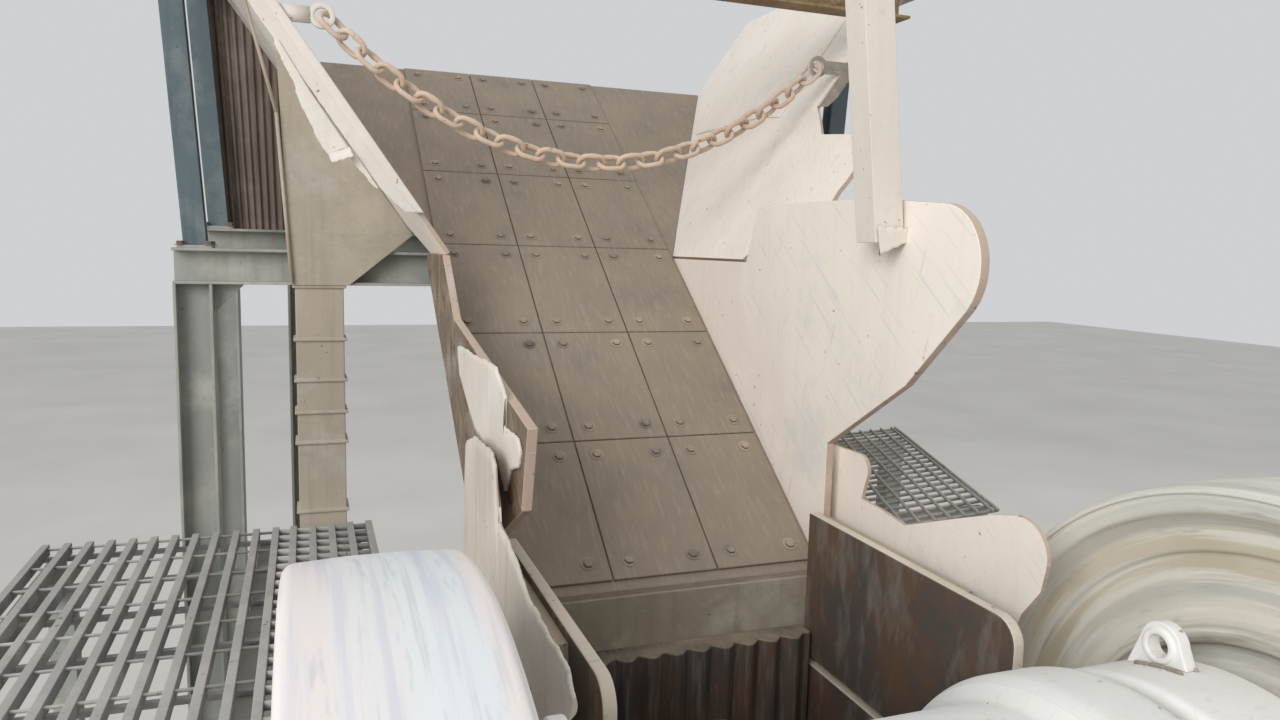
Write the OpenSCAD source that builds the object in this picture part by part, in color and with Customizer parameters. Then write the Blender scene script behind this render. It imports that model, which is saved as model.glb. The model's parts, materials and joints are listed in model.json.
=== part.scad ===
// Single-toggle jaw crusher with its feed chute, hopper, steel supports and walkways.
// Millimetres. +X to the right, +Y towards the feed hopper, +Z up.
// The origin is the centre of the four foundation bolts, on the floor.
// Most shapes are placed from the crusher's shaft axis by the module at_shaft().

/* [Crushing chamber] */
// Width of the feed opening between the cheek plates
feed_w = 900; // [820:20:980]
// Depth of the feed opening between the jaw faces at the top
gape = 600; // [540:10:640]
// Gap between the jaw faces at the bottom
discharge_gap = 80; // [60:5:110]
// Height of the jaw plates
jaw_h = 1150; // [1050:25:1250]
// Height of the jaw plates' top above the shaft axis
jaw_top = 100; // [60:10:140]
// Distance from the shaft axis forward to the top of the swing jaw's face
swing_face = 500; // [490:5:530]
// Thickness of a jaw plate over its teeth
die_t = 90; // [70:5:100]
// Spacing of the jaw plates' teeth
tooth_pitch = 75; // [60:5:90]
// Height of the jaw plates' teeth
tooth_h = 28; // [20:2:34]
// Thickness of the cheek plates
cheek_t = 30; // [24:2:40]
// Gap at each side of the jaw plates
jaw_side_gap = 10; // [6:1:14]

/* [Frame] */
// Height of the shaft axis above the floor
shaft_h = 1550; // [1520:10:1650]
// Distance from the shaft axis back to the frame's rear face
frame_rear = 600; // [580:10:680]
// Length of the frame in front of the fixed jaw plate
front_depth = 160; // [140:10:200]
// Thickness of the side walls
wall_t = 50; // [40:5:60]
// Height of the side walls' top above the shaft axis, beside the jaws
wall_top = 430; // [400:10:460]
// Height of the front wall's top above the shaft axis
front_top = 250; // [200:10:300]
// Thickness of the front and rear wall plates
cross_wall_t = 60; // [50:5:80]
// Thickness of the stiffening ribs
rib_t = 30; // [20:2:40]
// How far the side walls' ribs stand out
rib_depth = 100; // [70:5:120]
// Thickness of the foot rails
foot_t = 40; // [30:5:60]
// Width of a foot rail outside its side wall
foot_w = 230; // [210:10:260]
// Spacing of the foundation bolts across the crusher
bolt_span_x = 1300; // [1240:10:1360]
// Spacing of the foundation bolts along the crusher
bolt_span_y = 1560; // [1500:20:1600]
// Diameter of the foundation bolt holes
bolt_hole_d = 42; // [32:2:50]

/* [Shaft and flywheels] */
// Throw of the eccentric shaft
throw = 19; // [14:1:22]
// Diameter of the shaft in its main bearings and wheels
shaft_d = 220; // [200:10:240]
// Diameter of the eccentric journal inside the pitman
journal_d = 270; // [260:5:300]
// Running clearance of the journals, on the radius
journal_gap = 0.05; // [0.03:0.01:0.09]
// Diameter of the flywheels
wheel_d = 1600; // [1500:20:1640]
// Width of the flywheels' rims
wheel_w = 262; // [220:6:290]
// Thickness of the flywheels' rims
rim_t = 62; // [50:2:80]
// Diameter of the raised ring on the flywheels' webs
ring_d = 960; // [900:10:1000]
// Thickness of the flywheels' webs
web_t = 96; // [70:2:120]
// Diameter of the flywheels' hubs
hub_d = 460; // [400:10:520]
// Gap between a bearing housing and its flywheel
wheel_gap = 41; // [30:1:60]
// Length of shaft outside a flywheel
shaft_stub = 50; // [30:5:80]

/* [Pitman and toggle] */
// Diameter of the pitman's barrel
barrel_d = 876; // [840:4:900]
// Diameter of the barrel's end collars
collar_d = 966; // [930:4:990]
// Width of a barrel end collar
collar_w = 190; // [150:10:210]
// Thickness of the pitman's front plate behind its jaw plate
pitman_plate_t = 110; // [90:5:130]
// Depth of the pitman's toggle block behind its jaw plate
toggle_block_d = 330; // [300:10:350]
// Radius of the toggle plate's rolling ends
toggle_r = 40; // [34:2:46]
// Thickness of the toggle plate
toggle_t = 50; // [40:2:60]
// Height of the rear toggle seat below the shaft axis
rear_seat_drop = 860; // [820:10:900]
// Clearance between moving pieces and what is near them
move_gap = 6; // [5:1:8]
// Diameter of a tension rod
rod_d = 44; // [36:2:50]
// Spacing of the two tension rods
rod_span = 500; // [400:20:560]

/* [Bearing housings] */
// Diameter of the main bearing housings
housing_d = 900; // [860:10:920]
// Width of a main bearing housing
housing_w = 175; // [160:5:200]
// Thickness of a lifting lug
lug_t = 30; // [24:2:40]
// Diameter of a lifting lug's eye
lug_eye_d = 46; // [36:2:56]

/* [Chute and hopper] */
// Distance from the crusher's centre to a chute side plate's inner face
chute_half = 500; // [500:5:515]
// Thickness of the chute side plates
chute_t = 26; // [20:1:30]
// Slope of the chute floor from level, in degrees
floor_a = 36; // [32:1:40]
// Thickness of the chute floor
floor_t = 25; // [16:1:32]
// Height above the shaft axis where the hopper starts to flare
flare_z = 1200; // [1150:10:1250]
// Lean of the hopper's flared walls from upright, in degrees
flare_a = 35; // [30:1:38]
// Thickness of the hopper's flared walls
hopper_t = 16; // [12:1:20]
// Distance from the shaft axis to the hopper's mouth edges
mouth_y = 2050; // [2000:10:2100]
// Distance from the shaft axis to the hopper's far end
hopper_far = 3700; // [3650:10:3800]
// Height of the hopper's rim above the shaft axis
hopper_top = 2520; // [2460:10:2560]
// Thickness of the torn patch on the left side plate
patch_t = 10; // [6:1:14]
// Width of the flange along the left mouth edge
flange_w = 80; // [70:5:100]
// Width of the torn foot of that flange
torn_w = 150; // [130:5:170]
// Width of the narrow flange along the right one's upper part
angle_w = 45; // [40:5:60]
// Thickness of those flanges
flange_t = 16; // [12:1:20]
// Thickness of the thin skirts beside the chamber
skirt_t = 12; // [8:1:16]
// Gap between a chute side plate, with its patch, and the skirt outside it
skirt_gap = 24; // [16:2:30]
// Thickness of a chain link's wire
link_wire = 18; // [14:1:20]
// Pitch of the chain links
link_pitch = 75; // [70:1:84]
// Free play between two chain links
link_gap = 2; // [1:0.5:3]
// How far the chain sags in the middle
chain_sag = 410; // [360:10:440]

/* [Steel supports] */
// Size of the H-section legs and cross beams
beam_h = 135; // [120:5:160]
// Size of the upright H-section posts
post_h = 80; // [70:5:100]
// Width of the guard post beside the feed chute
guard_w = 88; // [60:2:100]
// Thickness of the H-sections' flanges
flange_h = 11; // [8:1:14]
// Thickness of the H-sections' webs
web_h = 8; // [6:1:10]
// Distance from the shaft axis to the near support row
row_near = 2700; // [2650:10:2750]
// Distance between the support rows
row_step = 600; // [550:10:650]
// Height of the near cross beam's underside above the shaft axis
beam_z = 1055; // [980:5:1080]
// Lean of the upright posts outwards, in degrees
post_lean = 3.5; // [2:0.5:5]

/* [Walkways] */
// Height of the left walkway's top above the shaft axis
grating_z = 150; // [100:10:200]
// Spacing of the left walkway's bars
bar_pitch = 68; // [60:2:80]
// Width of a grating bar
bar_w = 24; // [16:1:30]
// Depth of a grating bar
bar_d = 40; // [30:2:50]
// Height of the right walkway's mesh above the shaft axis
mesh_z = 380; // [360:10:440]
// Spacing of the mesh's rods
mesh_pitch = 68; // [60:2:80]
// Diameter of the mesh's rods
mesh_rod_d = 12; // [8:1:16]

/* [Hidden] */
$fn = 96;
eps = 1;

// Places worked out across the crusher, from its centre outwards
feed_half = feed_w / 2;
jaw_half = feed_half - jaw_side_gap;
wall_in = feed_half + cheek_t;
wall_out = wall_in + wall_t;
housing_in = wall_in + 5;
housing_out = wall_out + housing_w;
wheel_in = housing_out + wheel_gap;
wheel_out = wheel_in + wheel_w;
shaft_end = wheel_out + shaft_stub;

// Places along the crusher, from the shaft axis
fixed_face = swing_face + gape;
front_in = fixed_face + die_t;
frame_front = front_in + front_depth;
frame_mid = (frame_front - frame_rear) / 2;
shaft_y = -frame_mid;
jaw_bottom = jaw_top - jaw_h;
swing_foot = fixed_face - discharge_gap;
housing_r = housing_d / 2;
seat_half = housing_r + 60;
ear_t = 38;
floor_z = -shaft_h;
wall_foot = floor_z + foot_t;
foot_end = 40;
notch_z = front_top - 10;
rib_top = 50;

// The swing jaw's slope and length
jaw_a = atan2(swing_foot - swing_face, jaw_h);
jaw_len = jaw_h / cos(jaw_a);

// The toggle's ends, at the middle of the pitman's orbit
toggle_back = die_t + toggle_block_d;
front_seat = [swing_foot - toggle_back * cos(jaw_a) - 100 * sin(jaw_a),
    jaw_bottom - toggle_back * sin(jaw_a) + 100 * cos(jaw_a)];
rear_seat = [-230, -rear_seat_drop];
toggle_vec = front_seat - rear_seat;
toggle_len = norm(toggle_vec);
toggle_a = atan2(toggle_vec[1], toggle_vec[0]);
open_seat_r = toggle_r + throw + move_gap;

// The tension rods, at the middle of the pitman's orbit
rod_z = front_seat[1] - toggle_r - throw - move_gap - rod_d / 2 - 25;
rod_front = front_seat[0] + 130;
rod_slot_r = rod_d / 2 + throw + move_gap;
washer_t = 15;
spring_front = -frame_rear - throw - move_gap - washer_t;
spring_len = 200;

// The chute floor and the flared hopper
floor_start = [front_in, front_top + floor_t * cos(floor_a)];
far_floor_z = floor_z_at(hopper_far);
flare_y = floor_start[1] < flare_z ? front_in + (flare_z - floor_start[1]) / tan(floor_a) : front_in;
extension_y = mouth_y - 600;
extension_top = flare_z + 442;
lobe_z = flare_z + 597;
rim_h = 100;
rim_z = hopper_top - 140 - rim_h;
rim_in = flare_x(rim_z + rim_h) + hopper_t / cos(flare_a);
post_x = rim_in + post_h / 2;
leg_x = post_x + (post_h - beam_h) / 2 + 10;
leg_x_far = leg_x - 50;
row_far = row_near + row_step;
beam_z_far = beam_z + 80;
pier_w = 180;
pier_x = 920;
gusset_t = 16;
gusset_y = row_near - beam_h / 2 - gusset_t;
tie_h = 180;
tie_w = 90;
tie_z = 2140;
tie_y = mouth_y - flange_t - tie_w;
chain_y = mouth_y - flange_t / 2;
skirt_in = max(wall_out, chute_half + chute_t + patch_t) + skirt_gap;
seam_z = flare_z - hopper_t * sin(flare_a);
chain_low = 1530;
chain_half = 900;
chain_c = catenary_c(chain_half, chain_sag, 1000, 8);
link_count = floor(2 * chain_c * sinh(chain_half / chain_c) / link_pitch);
end_x = chain_c * asinh((link_count - 1) / 2 * link_pitch / chain_c);
end_lean = atan(sinh(end_x / chain_c));
link_reach = (link_pitch + link_gap + link_wire) / 2;
chain_eye = [end_x + link_reach * cos(end_lean),
    chain_low + chain_c * (cosh(end_x / chain_c) - 1) + link_reach * sin(end_lean)];

// Walkways
walk_in = shaft_end + 22;
walk_out = walk_in + 11 * bar_pitch;
walk_rear = -900;
walk_front = 2450;
walk_inner = wheel_in;
cross_bar_h = 12;
walk_beam_h = 100;
walk_beam_w = 50;
walk_leg = 80;
mesh_a = 22;
mesh_cross_a = 9;
mesh_corner = [1200, 1250];
mesh_wide = 7 * mesh_pitch;
mesh_long = 21 * mesh_pitch;
mesh_beam_y = [1330, 2380];
mesh_across = mesh_wide * cos(mesh_cross_a + mesh_a) / cos(mesh_a);

// Where the mesh's outer edge passes a place along the crusher
function mesh_edge(y) = mesh_corner[0] + (y - mesh_corner[1]) * tan(mesh_a);
function floor_z_at(y) = floor_start[1] + (y - floor_start[0]) * tan(floor_a);
function flare_x(z) = chute_half + (z - flare_z) * tan(flare_a);
function flare_s(z) = (z - flare_z) / cos(flare_a);
function cosh(v) = (exp(v) + exp(-v)) / 2;
function sinh(v) = (exp(v) - exp(-v)) / 2;
function asinh(v) = ln(v + sqrt(v * v + 1));
// Catenary parameter whose sag over half the span is the one wanted, by repeated correction
function catenary_c(half, sag, c, n) =
    n == 0 ? c : catenary_c(half, sag, c * (c * (cosh(half / c) - 1)) / sag, n - 1);
// An arc's points from one angle to another
function arc(cy, cz, r, a0, a1, n = 10) =
    [for (i = [0:n]) [cy + r * cos(a0 + (a1 - a0) * i / n), cz + r * sin(a0 + (a1 - a0) * i / n)]];

// Moves shapes drawn about the shaft axis to their place above the floor
module at_shaft() {
    translate([0, shaft_y, shaft_h]) children();
}

// Draws a right-hand shape, or its mirror image on the left
module on_side(side) {
    if (side > 0) children();
    else mirror([1, 0, 0]) children();
}

module on_both_sides() {
    on_side(1) children();
    on_side(-1) children();
}

// A plate whose outline is given as [y, z] points, from x outwards
module yz_plate(x, t, points) {
    translate([x, 0, 0]) rotate([90, 0, 90]) linear_extrude(t) polygon(points);
}

// A plate whose outline is given as [x, z] points, from y forwards
module xz_plate(y, t, points) {
    translate([0, y + t, 0]) rotate([90, 0, 0]) linear_extrude(t) polygon(points);
}

// A cylinder along X from x0 to x1
module x_cylinder(x0, x1, r) {
    translate([x0, 0, 0]) rotate([0, 90, 0]) cylinder(h = x1 - x0, r = r);
}

module block(low, high) {
    translate(low) cube(high - low);
}

// The outline of an H-section of one height and width
module h_outline(h) {
    for (s = [-1, 1]) translate([-h / 2, s > 0 ? h / 2 - flange_h : -h / 2]) square([h, flange_h]);
    translate([-web_h / 2, -h / 2]) square([web_h, h]);
}

// An upright H-section standing at [x, y], its web along Y, or along X where it is turned by 90
module h_post(x, y, z0, z1, h, turn = 0) {
    translate([x, y, z0]) rotate([0, 0, turn]) linear_extrude(z1 - z0) h_outline(h);
}

// The same with its top at [x, y] and its foot leaning in by post_lean, cut level at both ends
module leaning_post(x, y, z0, z1, h) {
    reach = (z1 - z0) * tan(post_lean) + h;
    intersection() {
        translate([x, y, z1]) rotate([0, post_lean, 0]) translate([0, 0, z0 - z1 - 2 * h])
            linear_extrude(z1 - z0 + 4 * h) h_outline(h);
        block([x - reach, y - h, z0], [x + h, y + h, z1]);
    }
}

// A level H-section along X with its flanges above and below
module h_beam(x0, x1, y, z0, h) {
    translate([x0, y, z0 + h / 2]) rotate([90, 0, 90]) linear_extrude(x1 - x0) h_outline(h);
}

// The frame

module foot_rails() {
    color("#8d8477") on_both_sides() difference() {
        block([wall_in, shaft_y - frame_rear - foot_end, 0],
            [wall_out + foot_w, shaft_y + frame_front + foot_end, foot_t]);
        for (s = [-1, 1])
            translate([bolt_span_x / 2, s * bolt_span_y / 2, -eps])
                cylinder(h = foot_t + 2 * eps, d = bolt_hole_d);
    }
}

module side_wall_shape() {
    shelf_z = -housing_r;
    outline = [[-frame_rear, wall_foot], [-frame_rear, -560], [-seat_half, -60], [-seat_half, 0],
        [seat_half, 0], [seat_half + 50, wall_top], [front_in, wall_top], [front_in, notch_z],
        [frame_front, notch_z], [frame_front, wall_foot]];
    difference() {
        yz_plate(wall_in, wall_t, outline);
        x_cylinder(wall_in - eps, wall_out + eps, shaft_d / 2 + 30);
    }
    // Shelf under the bearing housing and the ribs that carry it
    block([wall_out, -seat_half, shelf_z - rib_t], [housing_out, seat_half, shelf_z]);
    for (y = [-seat_half + rib_t, -170, 140, seat_half - 2 * rib_t])
        block([wall_out, y, wall_foot], [housing_out - 15, y + rib_t, shelf_z - rib_t]);
    // Ribs beside the chamber
    for (y = [front_in - 330, frame_front - rib_t])
        block([wall_out, y, wall_foot], [wall_out + rib_depth, y + rib_t, rib_top]);
    for (z = [-1000, -housing_r - rib_t, rib_top - rib_t])
        block([wall_out, seat_half, z], [wall_out + rib_depth - 20, frame_front, z + rib_t]);
}

module side_wall_left() {
    color("#a89a86") at_shaft() on_side(-1) side_wall_shape();
}

module side_wall_right() {
    color("#a89a86") at_shaft() on_side(1) side_wall_shape();
}

module front_wall() {
    foot = wall_foot + 130;
    color("#9c8f7d") at_shaft() {
        block([-wall_in, front_in, foot], [wall_in, front_in + cross_wall_t, front_top]);
        for (z = [foot, -1000, -520, -40, front_top - rib_t])
            block([-wall_in, front_in + cross_wall_t, z], [wall_in, frame_front, z + rib_t]);
        for (x = [-wall_in / 2, 0, wall_in / 2])
            block([x - rib_t / 2, front_in + cross_wall_t, foot],
                [x + rib_t / 2, frame_front - 20, front_top]);
    }
}

module rear_wall() {
    low = rod_z - 110;
    high = -rear_seat_drop + 330;
    color("#9c8f7d") at_shaft() difference() {
        union() {
            block([-wall_in, -frame_rear, low], [wall_in, -frame_rear + cross_wall_t, high]);
            block([-wall_in, -frame_rear + cross_wall_t, high - 40],
                [wall_in, -frame_rear + cross_wall_t + 120, high]);
            block([-wall_in, -frame_rear + cross_wall_t, -rear_seat_drop - 160],
                [wall_in, rear_seat[0], -rear_seat_drop - 120]);
        }
        for (s = [-1, 1])
            translate([s * rod_span / 2, -frame_rear - eps, rod_z]) rotate([-90, 0, 0])
                cylinder(h = cross_wall_t + 2 * eps, r = rod_slot_r);
    }
}

// Seen from above, a jaw plate's outline: flat at the back and toothed at y = 0
module jaw_plate_outline() {
    teeth = floor(2 * jaw_half / tooth_pitch);
    start = -teeth * tooth_pitch / 2;
    tips = [for (i = [0:teeth - 1]) each [[start + i * tooth_pitch, -tooth_h],
        [start + (i + 0.38) * tooth_pitch, 0], [start + (i + 0.62) * tooth_pitch, 0]]];
    polygon(concat([[-jaw_half, -die_t], [-jaw_half, -tooth_h]], tips,
        [[-start, -tooth_h], [jaw_half, -tooth_h], [jaw_half, -die_t]]));
}

module fixed_jaw_plate() {
    color("#5d5148") at_shaft() translate([0, fixed_face, jaw_bottom])
        mirror([0, 1, 0]) linear_extrude(jaw_h) jaw_plate_outline();
}

module cheek_plates_shape() {
    near_r = 60;
    low_front = front_in;
    yz_plate(feed_half, cheek_t, [[seat_half - 160, -12], [low_front, -12],
        [low_front, jaw_bottom], [swing_foot - 330, jaw_bottom]]);
    yz_plate(feed_half, cheek_t, concat([[seat_half - 180, 12], [low_front, 12],
        [low_front, wall_top + 20]],
        arc(seat_half - 180 + near_r, wall_top + 20 - near_r, near_r, 90, 180, 6)));
}

module cheek_plates() {
    color("#6b6058") at_shaft() on_both_sides() cheek_plates_shape();
}

// Ears through which a cap is bolted to its base, from height z0 to z1
module housing_ears(z0, z1) {
    reach = seat_half - 8;
    for (y = [-reach, housing_r - 60])
        block([wall_out + 20, y, z0], [housing_out - 20, y + reach - housing_r + 60, z1]);
}

module bearing_base_shape() {
    difference() {
        union() {
            yz_plate(wall_out, housing_w, concat([[-housing_r, 0], [-housing_r, -housing_r + 60],
                [-housing_r + 40, -housing_r], [housing_r - 40, -housing_r],
                [housing_r, -housing_r + 60], [housing_r, 0]]));
            housing_ears(-ear_t, 0);
        }
        x_cylinder(wall_out - eps, housing_out + eps, shaft_d / 2 + journal_gap);
    }
}

module bearing_bases() {
    color("#c9b3a0") at_shaft() on_both_sides() bearing_base_shape();
}

// Half of a turned drum with rounded shoulders, cut off level with the shaft axis
module bearing_cap_shape() {
    shoulder = 22;
    w = housing_out - housing_in;
    difference() {
        translate([housing_in, 0, 0]) rotate([90, 0, 90])
            rotate_extrude() polygon(concat([[shaft_d / 2 + journal_gap, 0],
                [housing_r - shoulder, 0]],
                arc(housing_r - shoulder, shoulder, shoulder, -90, 0, 5),
                arc(housing_r - shoulder, w - shoulder, shoulder, 0, 90, 5),
                [[shaft_d / 2 + journal_gap, w]]));
        block([housing_in - eps, -housing_d, -housing_d], [housing_out + eps, housing_d, 0]);
    }
    difference() {
        housing_ears(0, ear_t);
        x_cylinder(wall_out, housing_out, housing_r - shoulder);
    }
}

module bearing_caps() {
    color("#d8c3b2") at_shaft() on_both_sides() bearing_cap_shape();
}

// An eye plate welded to the top of each bearing cap
module lifting_lugs() {
    lug_x = wall_out + housing_w / 2 - 10;
    eye = [115, housing_r + 25];
    collar_r = lug_eye_d / 2 + 12;
    collar_t = 8;
    color("#d8c8b4") at_shaft() on_both_sides() difference() {
        union() {
            yz_plate(lug_x, lug_t, concat([[40, housing_r - 30], [195, housing_r - 60]],
                arc(eye[0], eye[1] + 2, lug_eye_d, 10, 170, 12)));
            translate([lug_x - collar_t, eye[0], eye[1]]) rotate([0, 90, 0])
                cylinder(h = lug_t + collar_t, r = collar_r);
        }
        x_cylinder(housing_in, housing_out, housing_r);
        translate([lug_x - collar_t - eps, eye[0], eye[1]]) rotate([0, 90, 0])
            cylinder(h = lug_t + collar_t + 2 * eps, d = lug_eye_d);
    }
}

// The toggle

module toggle_seat() {
    color("#857a6c") at_shaft() difference() {
        block([-wall_in, -frame_rear + cross_wall_t + 100, -rear_seat_drop - 120],
            [wall_in, rear_seat[0], -rear_seat_drop + 110]);
        translate([0, rear_seat[0], rear_seat[1]]) x_cylinder(-wall_in - eps, wall_in + eps, toggle_r);
    }
}

module toggle_shims() {
    color("#6f675d") at_shaft() block([-wall_in + 60, -frame_rear + cross_wall_t, -rear_seat_drop - 120],
        [wall_in - 60, -frame_rear + cross_wall_t + 100, -rear_seat_drop + 90]);
}

module toggle_plate() {
    half = jaw_half - 40;
    color("#746859") at_shaft() translate([0, rear_seat[0], rear_seat[1]]) rotate([toggle_a, 0, 0]) {
        x_cylinder(-half, half, toggle_r);
        block([-half, 0, -toggle_t / 2], [half, toggle_len, toggle_t / 2]);
        translate([0, toggle_len, 0]) x_cylinder(-half, half, toggle_r);
    }
}

// Skirts, chute and hopper

// Spacers that hold a skirt off its side wall
module skirt_spacers(points) {
    for (p = points)
        block([wall_out, p[0] - 30, p[1] - 20], [skirt_in, p[0] + 30, p[1] + 20]);
}

module skirt_left() {
    outline = concat([[600, 60], [frame_front - 40, 120], [frame_front - 60, 690], [1143, 746],
        [868, 752], [846, 620], [664, 577], [528, 542], [322, 544], [240, 538]],
        arc(232, 500, 38, 100, 200, 5), [[275, 420], [470, 300]]);
    color("#a08c74") at_shaft() on_side(-1) {
        difference() {
            yz_plate(skirt_in, skirt_t, outline);
            x_cylinder(skirt_in - eps, skirt_in + skirt_t + eps, housing_r + move_gap);
        }
        skirt_spacers([[700, 200], [1120, 340]]);
    }
}

module skirt_right() {
    outline = concat([[600, 60], [frame_front + 100, 120], [frame_front + 60, 600], [1250, 640]],
        arc(1105, 597, 46, 90, 215, 8),
        [[1085, 512], [992, 508], [875, 495], [685, 569], [552, 619], [461, 643]],
        arc(450, 560, 82, 80, 190, 10), [[380, 490], [431, 419], [470, 300]]);
    color("#d9cab2") at_shaft() on_side(1) {
        difference() {
            yz_plate(skirt_in, skirt_t, outline);
            x_cylinder(skirt_in - eps, skirt_in + skirt_t + eps, housing_r + move_gap);
        }
        skirt_spacers([[700, 200], [1120, 300]]);
    }
}

// The chute floor's underside along a side plate, as [y, z] points from far to near
function chute_foot() = [[flare_y, floor_z_at(flare_y) - 60],
    [frame_front, floor_z_at(frame_front) - 60], [frame_front, notch_z], [front_in, notch_z],
    [front_in, wall_top]];

module chute_side_left() {
    color("#b9a78e") at_shaft() on_side(-1)
        yz_plate(chute_half, chute_t, concat([[800, 640], [750, 838], [1800, 990],
            [mouth_y, seam_z], [flare_y, seam_z]], chute_foot()));
}

// A torn plate tacked over the outside of the left side plate
module chute_patch() {
    color("#dccbb4") at_shaft() on_side(-1)
        yz_plate(chute_half + chute_t, patch_t, [[1607, 936], [1102, 940], [890, 867], [911, 810],
            [730, 826], [790, 735], [883, 667], [1210, 640], [1640, 745]]);
}

module chute_side_right() {
    nose = [730, flare_z + 5];
    nose_r = 155;
    nose_top = nose[1] + nose_r + 25;
    color("#dccbb4") at_shaft() on_side(1)
        yz_plate(chute_half, chute_t, concat([[front_in, 660], [830, 890]],
            arc(nose[0], nose[1], nose_r, 222, 90, 14),
            [[1050, nose_top], [mouth_y - 350, nose_top], [mouth_y - 270, seam_z], [flare_y, seam_z]],
            chute_foot()));
}

module chute_floor() {
    run = (hopper_far - front_in) / cos(floor_a);
    bend = (flare_y - front_in) / cos(floor_a);
    far_half = flare_x(far_floor_z);
    color("#7d7064") at_shaft() translate([0, floor_start[0], floor_start[1]]) rotate([floor_a, 0, 0])
        translate([0, 0, -floor_t]) linear_extrude(floor_t)
            polygon([[-chute_half, 0], [chute_half, 0], [chute_half, bend], [far_half, run],
                [-far_half, run], [-chute_half, bend]]);
}

// A flared wall's outline as [y, distance up the slope] points
module hopper_wall_shape(extended) {
    round_r = 190;
    s_lobe = flare_s(lobe_z);
    s_ext = flare_s(extension_top);
    near = extended ? concat([[mouth_y, s_lobe], [mouth_y - 70, s_lobe - 53], [mouth_y - 200, s_ext + 27]],
        arc(extension_y + round_r, s_ext - round_r, round_r, 90, 200, 8),
        [[extension_y + 4, 206], [mouth_y - 300, flare_s(flare_z + 60)], [mouth_y - 240, 0]])
        : [[mouth_y, 0]];
    translate([chute_half, 0, flare_z]) rotate([0, flare_a, 0]) rotate([90, 0, 90])
        linear_extrude(hopper_t) polygon(concat(near, [[flare_y, 0],
            [hopper_far, flare_s(far_floor_z)], [hopper_far, flare_s(hopper_top)],
            [mouth_y, flare_s(hopper_top)]]));
}

module hopper_wall_left() {
    color("#c3b49b") at_shaft() on_side(-1) hopper_wall_shape(false);
}

module hopper_wall_right() {
    color("#dccdb8") at_shaft() on_side(1) hopper_wall_shape(true);
}

// An upright band that follows a mouth edge from a given height, with the chain's eye
module mouth_flange_shape(low, width, foot_w, taper) {
    high = hopper_top - 40;
    out = width / cos(flare_a);
    foot_out = foot_w / cos(flare_a);
    waist = low + 2 * taper;
    eye_r = 24;
    lug_r = 40;
    strap = 25;
    difference() {
        union() {
            xz_plate(mouth_y - flange_t, flange_t, [[flare_x(low), low], [flare_x(high), high],
                [flare_x(high) + out, high], [flare_x(waist) + out, waist],
                [flare_x(low + taper) + foot_out, low + taper],
                [flare_x(low) + 40, low]]);
            xz_plate(mouth_y - flange_t, flange_t, [[chain_eye[0], chain_eye[1] - strap],
                [flare_x(chain_eye[1] - strap) + 30, chain_eye[1] - strap],
                [flare_x(chain_eye[1] + strap) + 30, chain_eye[1] + strap],
                [chain_eye[0], chain_eye[1] + strap]]);
            translate([chain_eye[0], mouth_y, chain_eye[1]]) rotate([90, 0, 0])
                cylinder(h = flange_t, r = lug_r);
        }
        translate([chain_eye[0], mouth_y + eps, chain_eye[1]]) rotate([90, 0, 0])
            cylinder(h = flange_t + 2 * eps, r = eye_r);
    }
}

module mouth_flange_left() {
    color("#e2d6c0") at_shaft() on_side(-1) mouth_flange_shape(flare_z + 130, flange_w, torn_w, 190);
}

module mouth_flange_right() {
    color("#8a8174") at_shaft() on_side(1) mouth_flange_shape(lobe_z + eps, angle_w, angle_w, 40);
}

// A beam across the hopper's mouth, on the front of both flanges
module tie_beam() {
    half = flare_x(tie_z + tie_h / 2) + 30;
    color("#6b4f35") at_shaft() {
        block([-half, tie_y, tie_z], [half, tie_y + tie_w, tie_z + flange_h]);
        block([-half, tie_y, tie_z + tie_h - flange_h], [half, tie_y + tie_w, tie_z + tie_h]);
        block([-half, tie_y + tie_w - flange_h, tie_z], [half, tie_y + tie_w, tie_z + tie_h]);
    }
}

// An upright channel on the nose plate, with a stay back to the tie beam
module guard_post() {
    post_y = 870;
    post_t = 9;
    foot = flare_z + 60;
    lean = 6.8;
    x = chute_half - guard_w;
    stay_x = x - (tie_z + 50 - foot) * tan(lean);
    color("#cfc0a8") at_shaft() {
        translate([x, post_y, foot]) rotate([0, -lean, 0]) linear_extrude(tie_z + tie_h - foot) difference() {
            square([guard_w, guard_w]);
            translate([post_t, post_t]) square([guard_w - 2 * post_t, guard_w]);
        }
        block([stay_x + 2 * post_t, post_y + post_t - eps, tie_z + 20],
            [stay_x + guard_w - 2 * post_t, tie_y, tie_z + 80]);
    }
}

// One chain link lying along X, flat in the XY plane
module chain_link() {
    bend_r = 30;
    straight = link_pitch + link_gap + link_wire - 2 * bend_r;
    for (s = [-1, 1]) {
        translate([s * straight / 2, 0, 0]) rotate([0, 0, s > 0 ? -90 : 90])
            rotate_extrude(angle = 180) translate([bend_r, 0]) circle(d = link_wire, $fn = 16);
        translate([-straight / 2, s * bend_r, 0]) rotate([0, 90, 0])
            cylinder(h = straight, d = link_wire, $fn = 16);
    }
}

module chain() {
    color("#c9ae94") at_shaft() for (i = [0:link_count - 1]) {
        s = (i - (link_count - 1) / 2) * link_pitch;
        x = chain_c * asinh(s / chain_c);
        translate([x, chain_y, chain_low + chain_c * (cosh(x / chain_c) - 1)])
            rotate([0, -atan(sinh(x / chain_c)), 0]) rotate([45 + 90 * (i % 2), 0, 0]) chain_link();
    }
}

// Steel supports

module cross_beams() {
    color("#8e9387") at_shaft() {
        h_beam(-leg_x - beam_h / 2, leg_x + beam_h / 2, row_near, beam_z, beam_h);
        h_beam(-leg_x_far - beam_h / 2, leg_x_far + beam_h / 2, row_far, beam_z_far, beam_h);
    }
}

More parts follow.
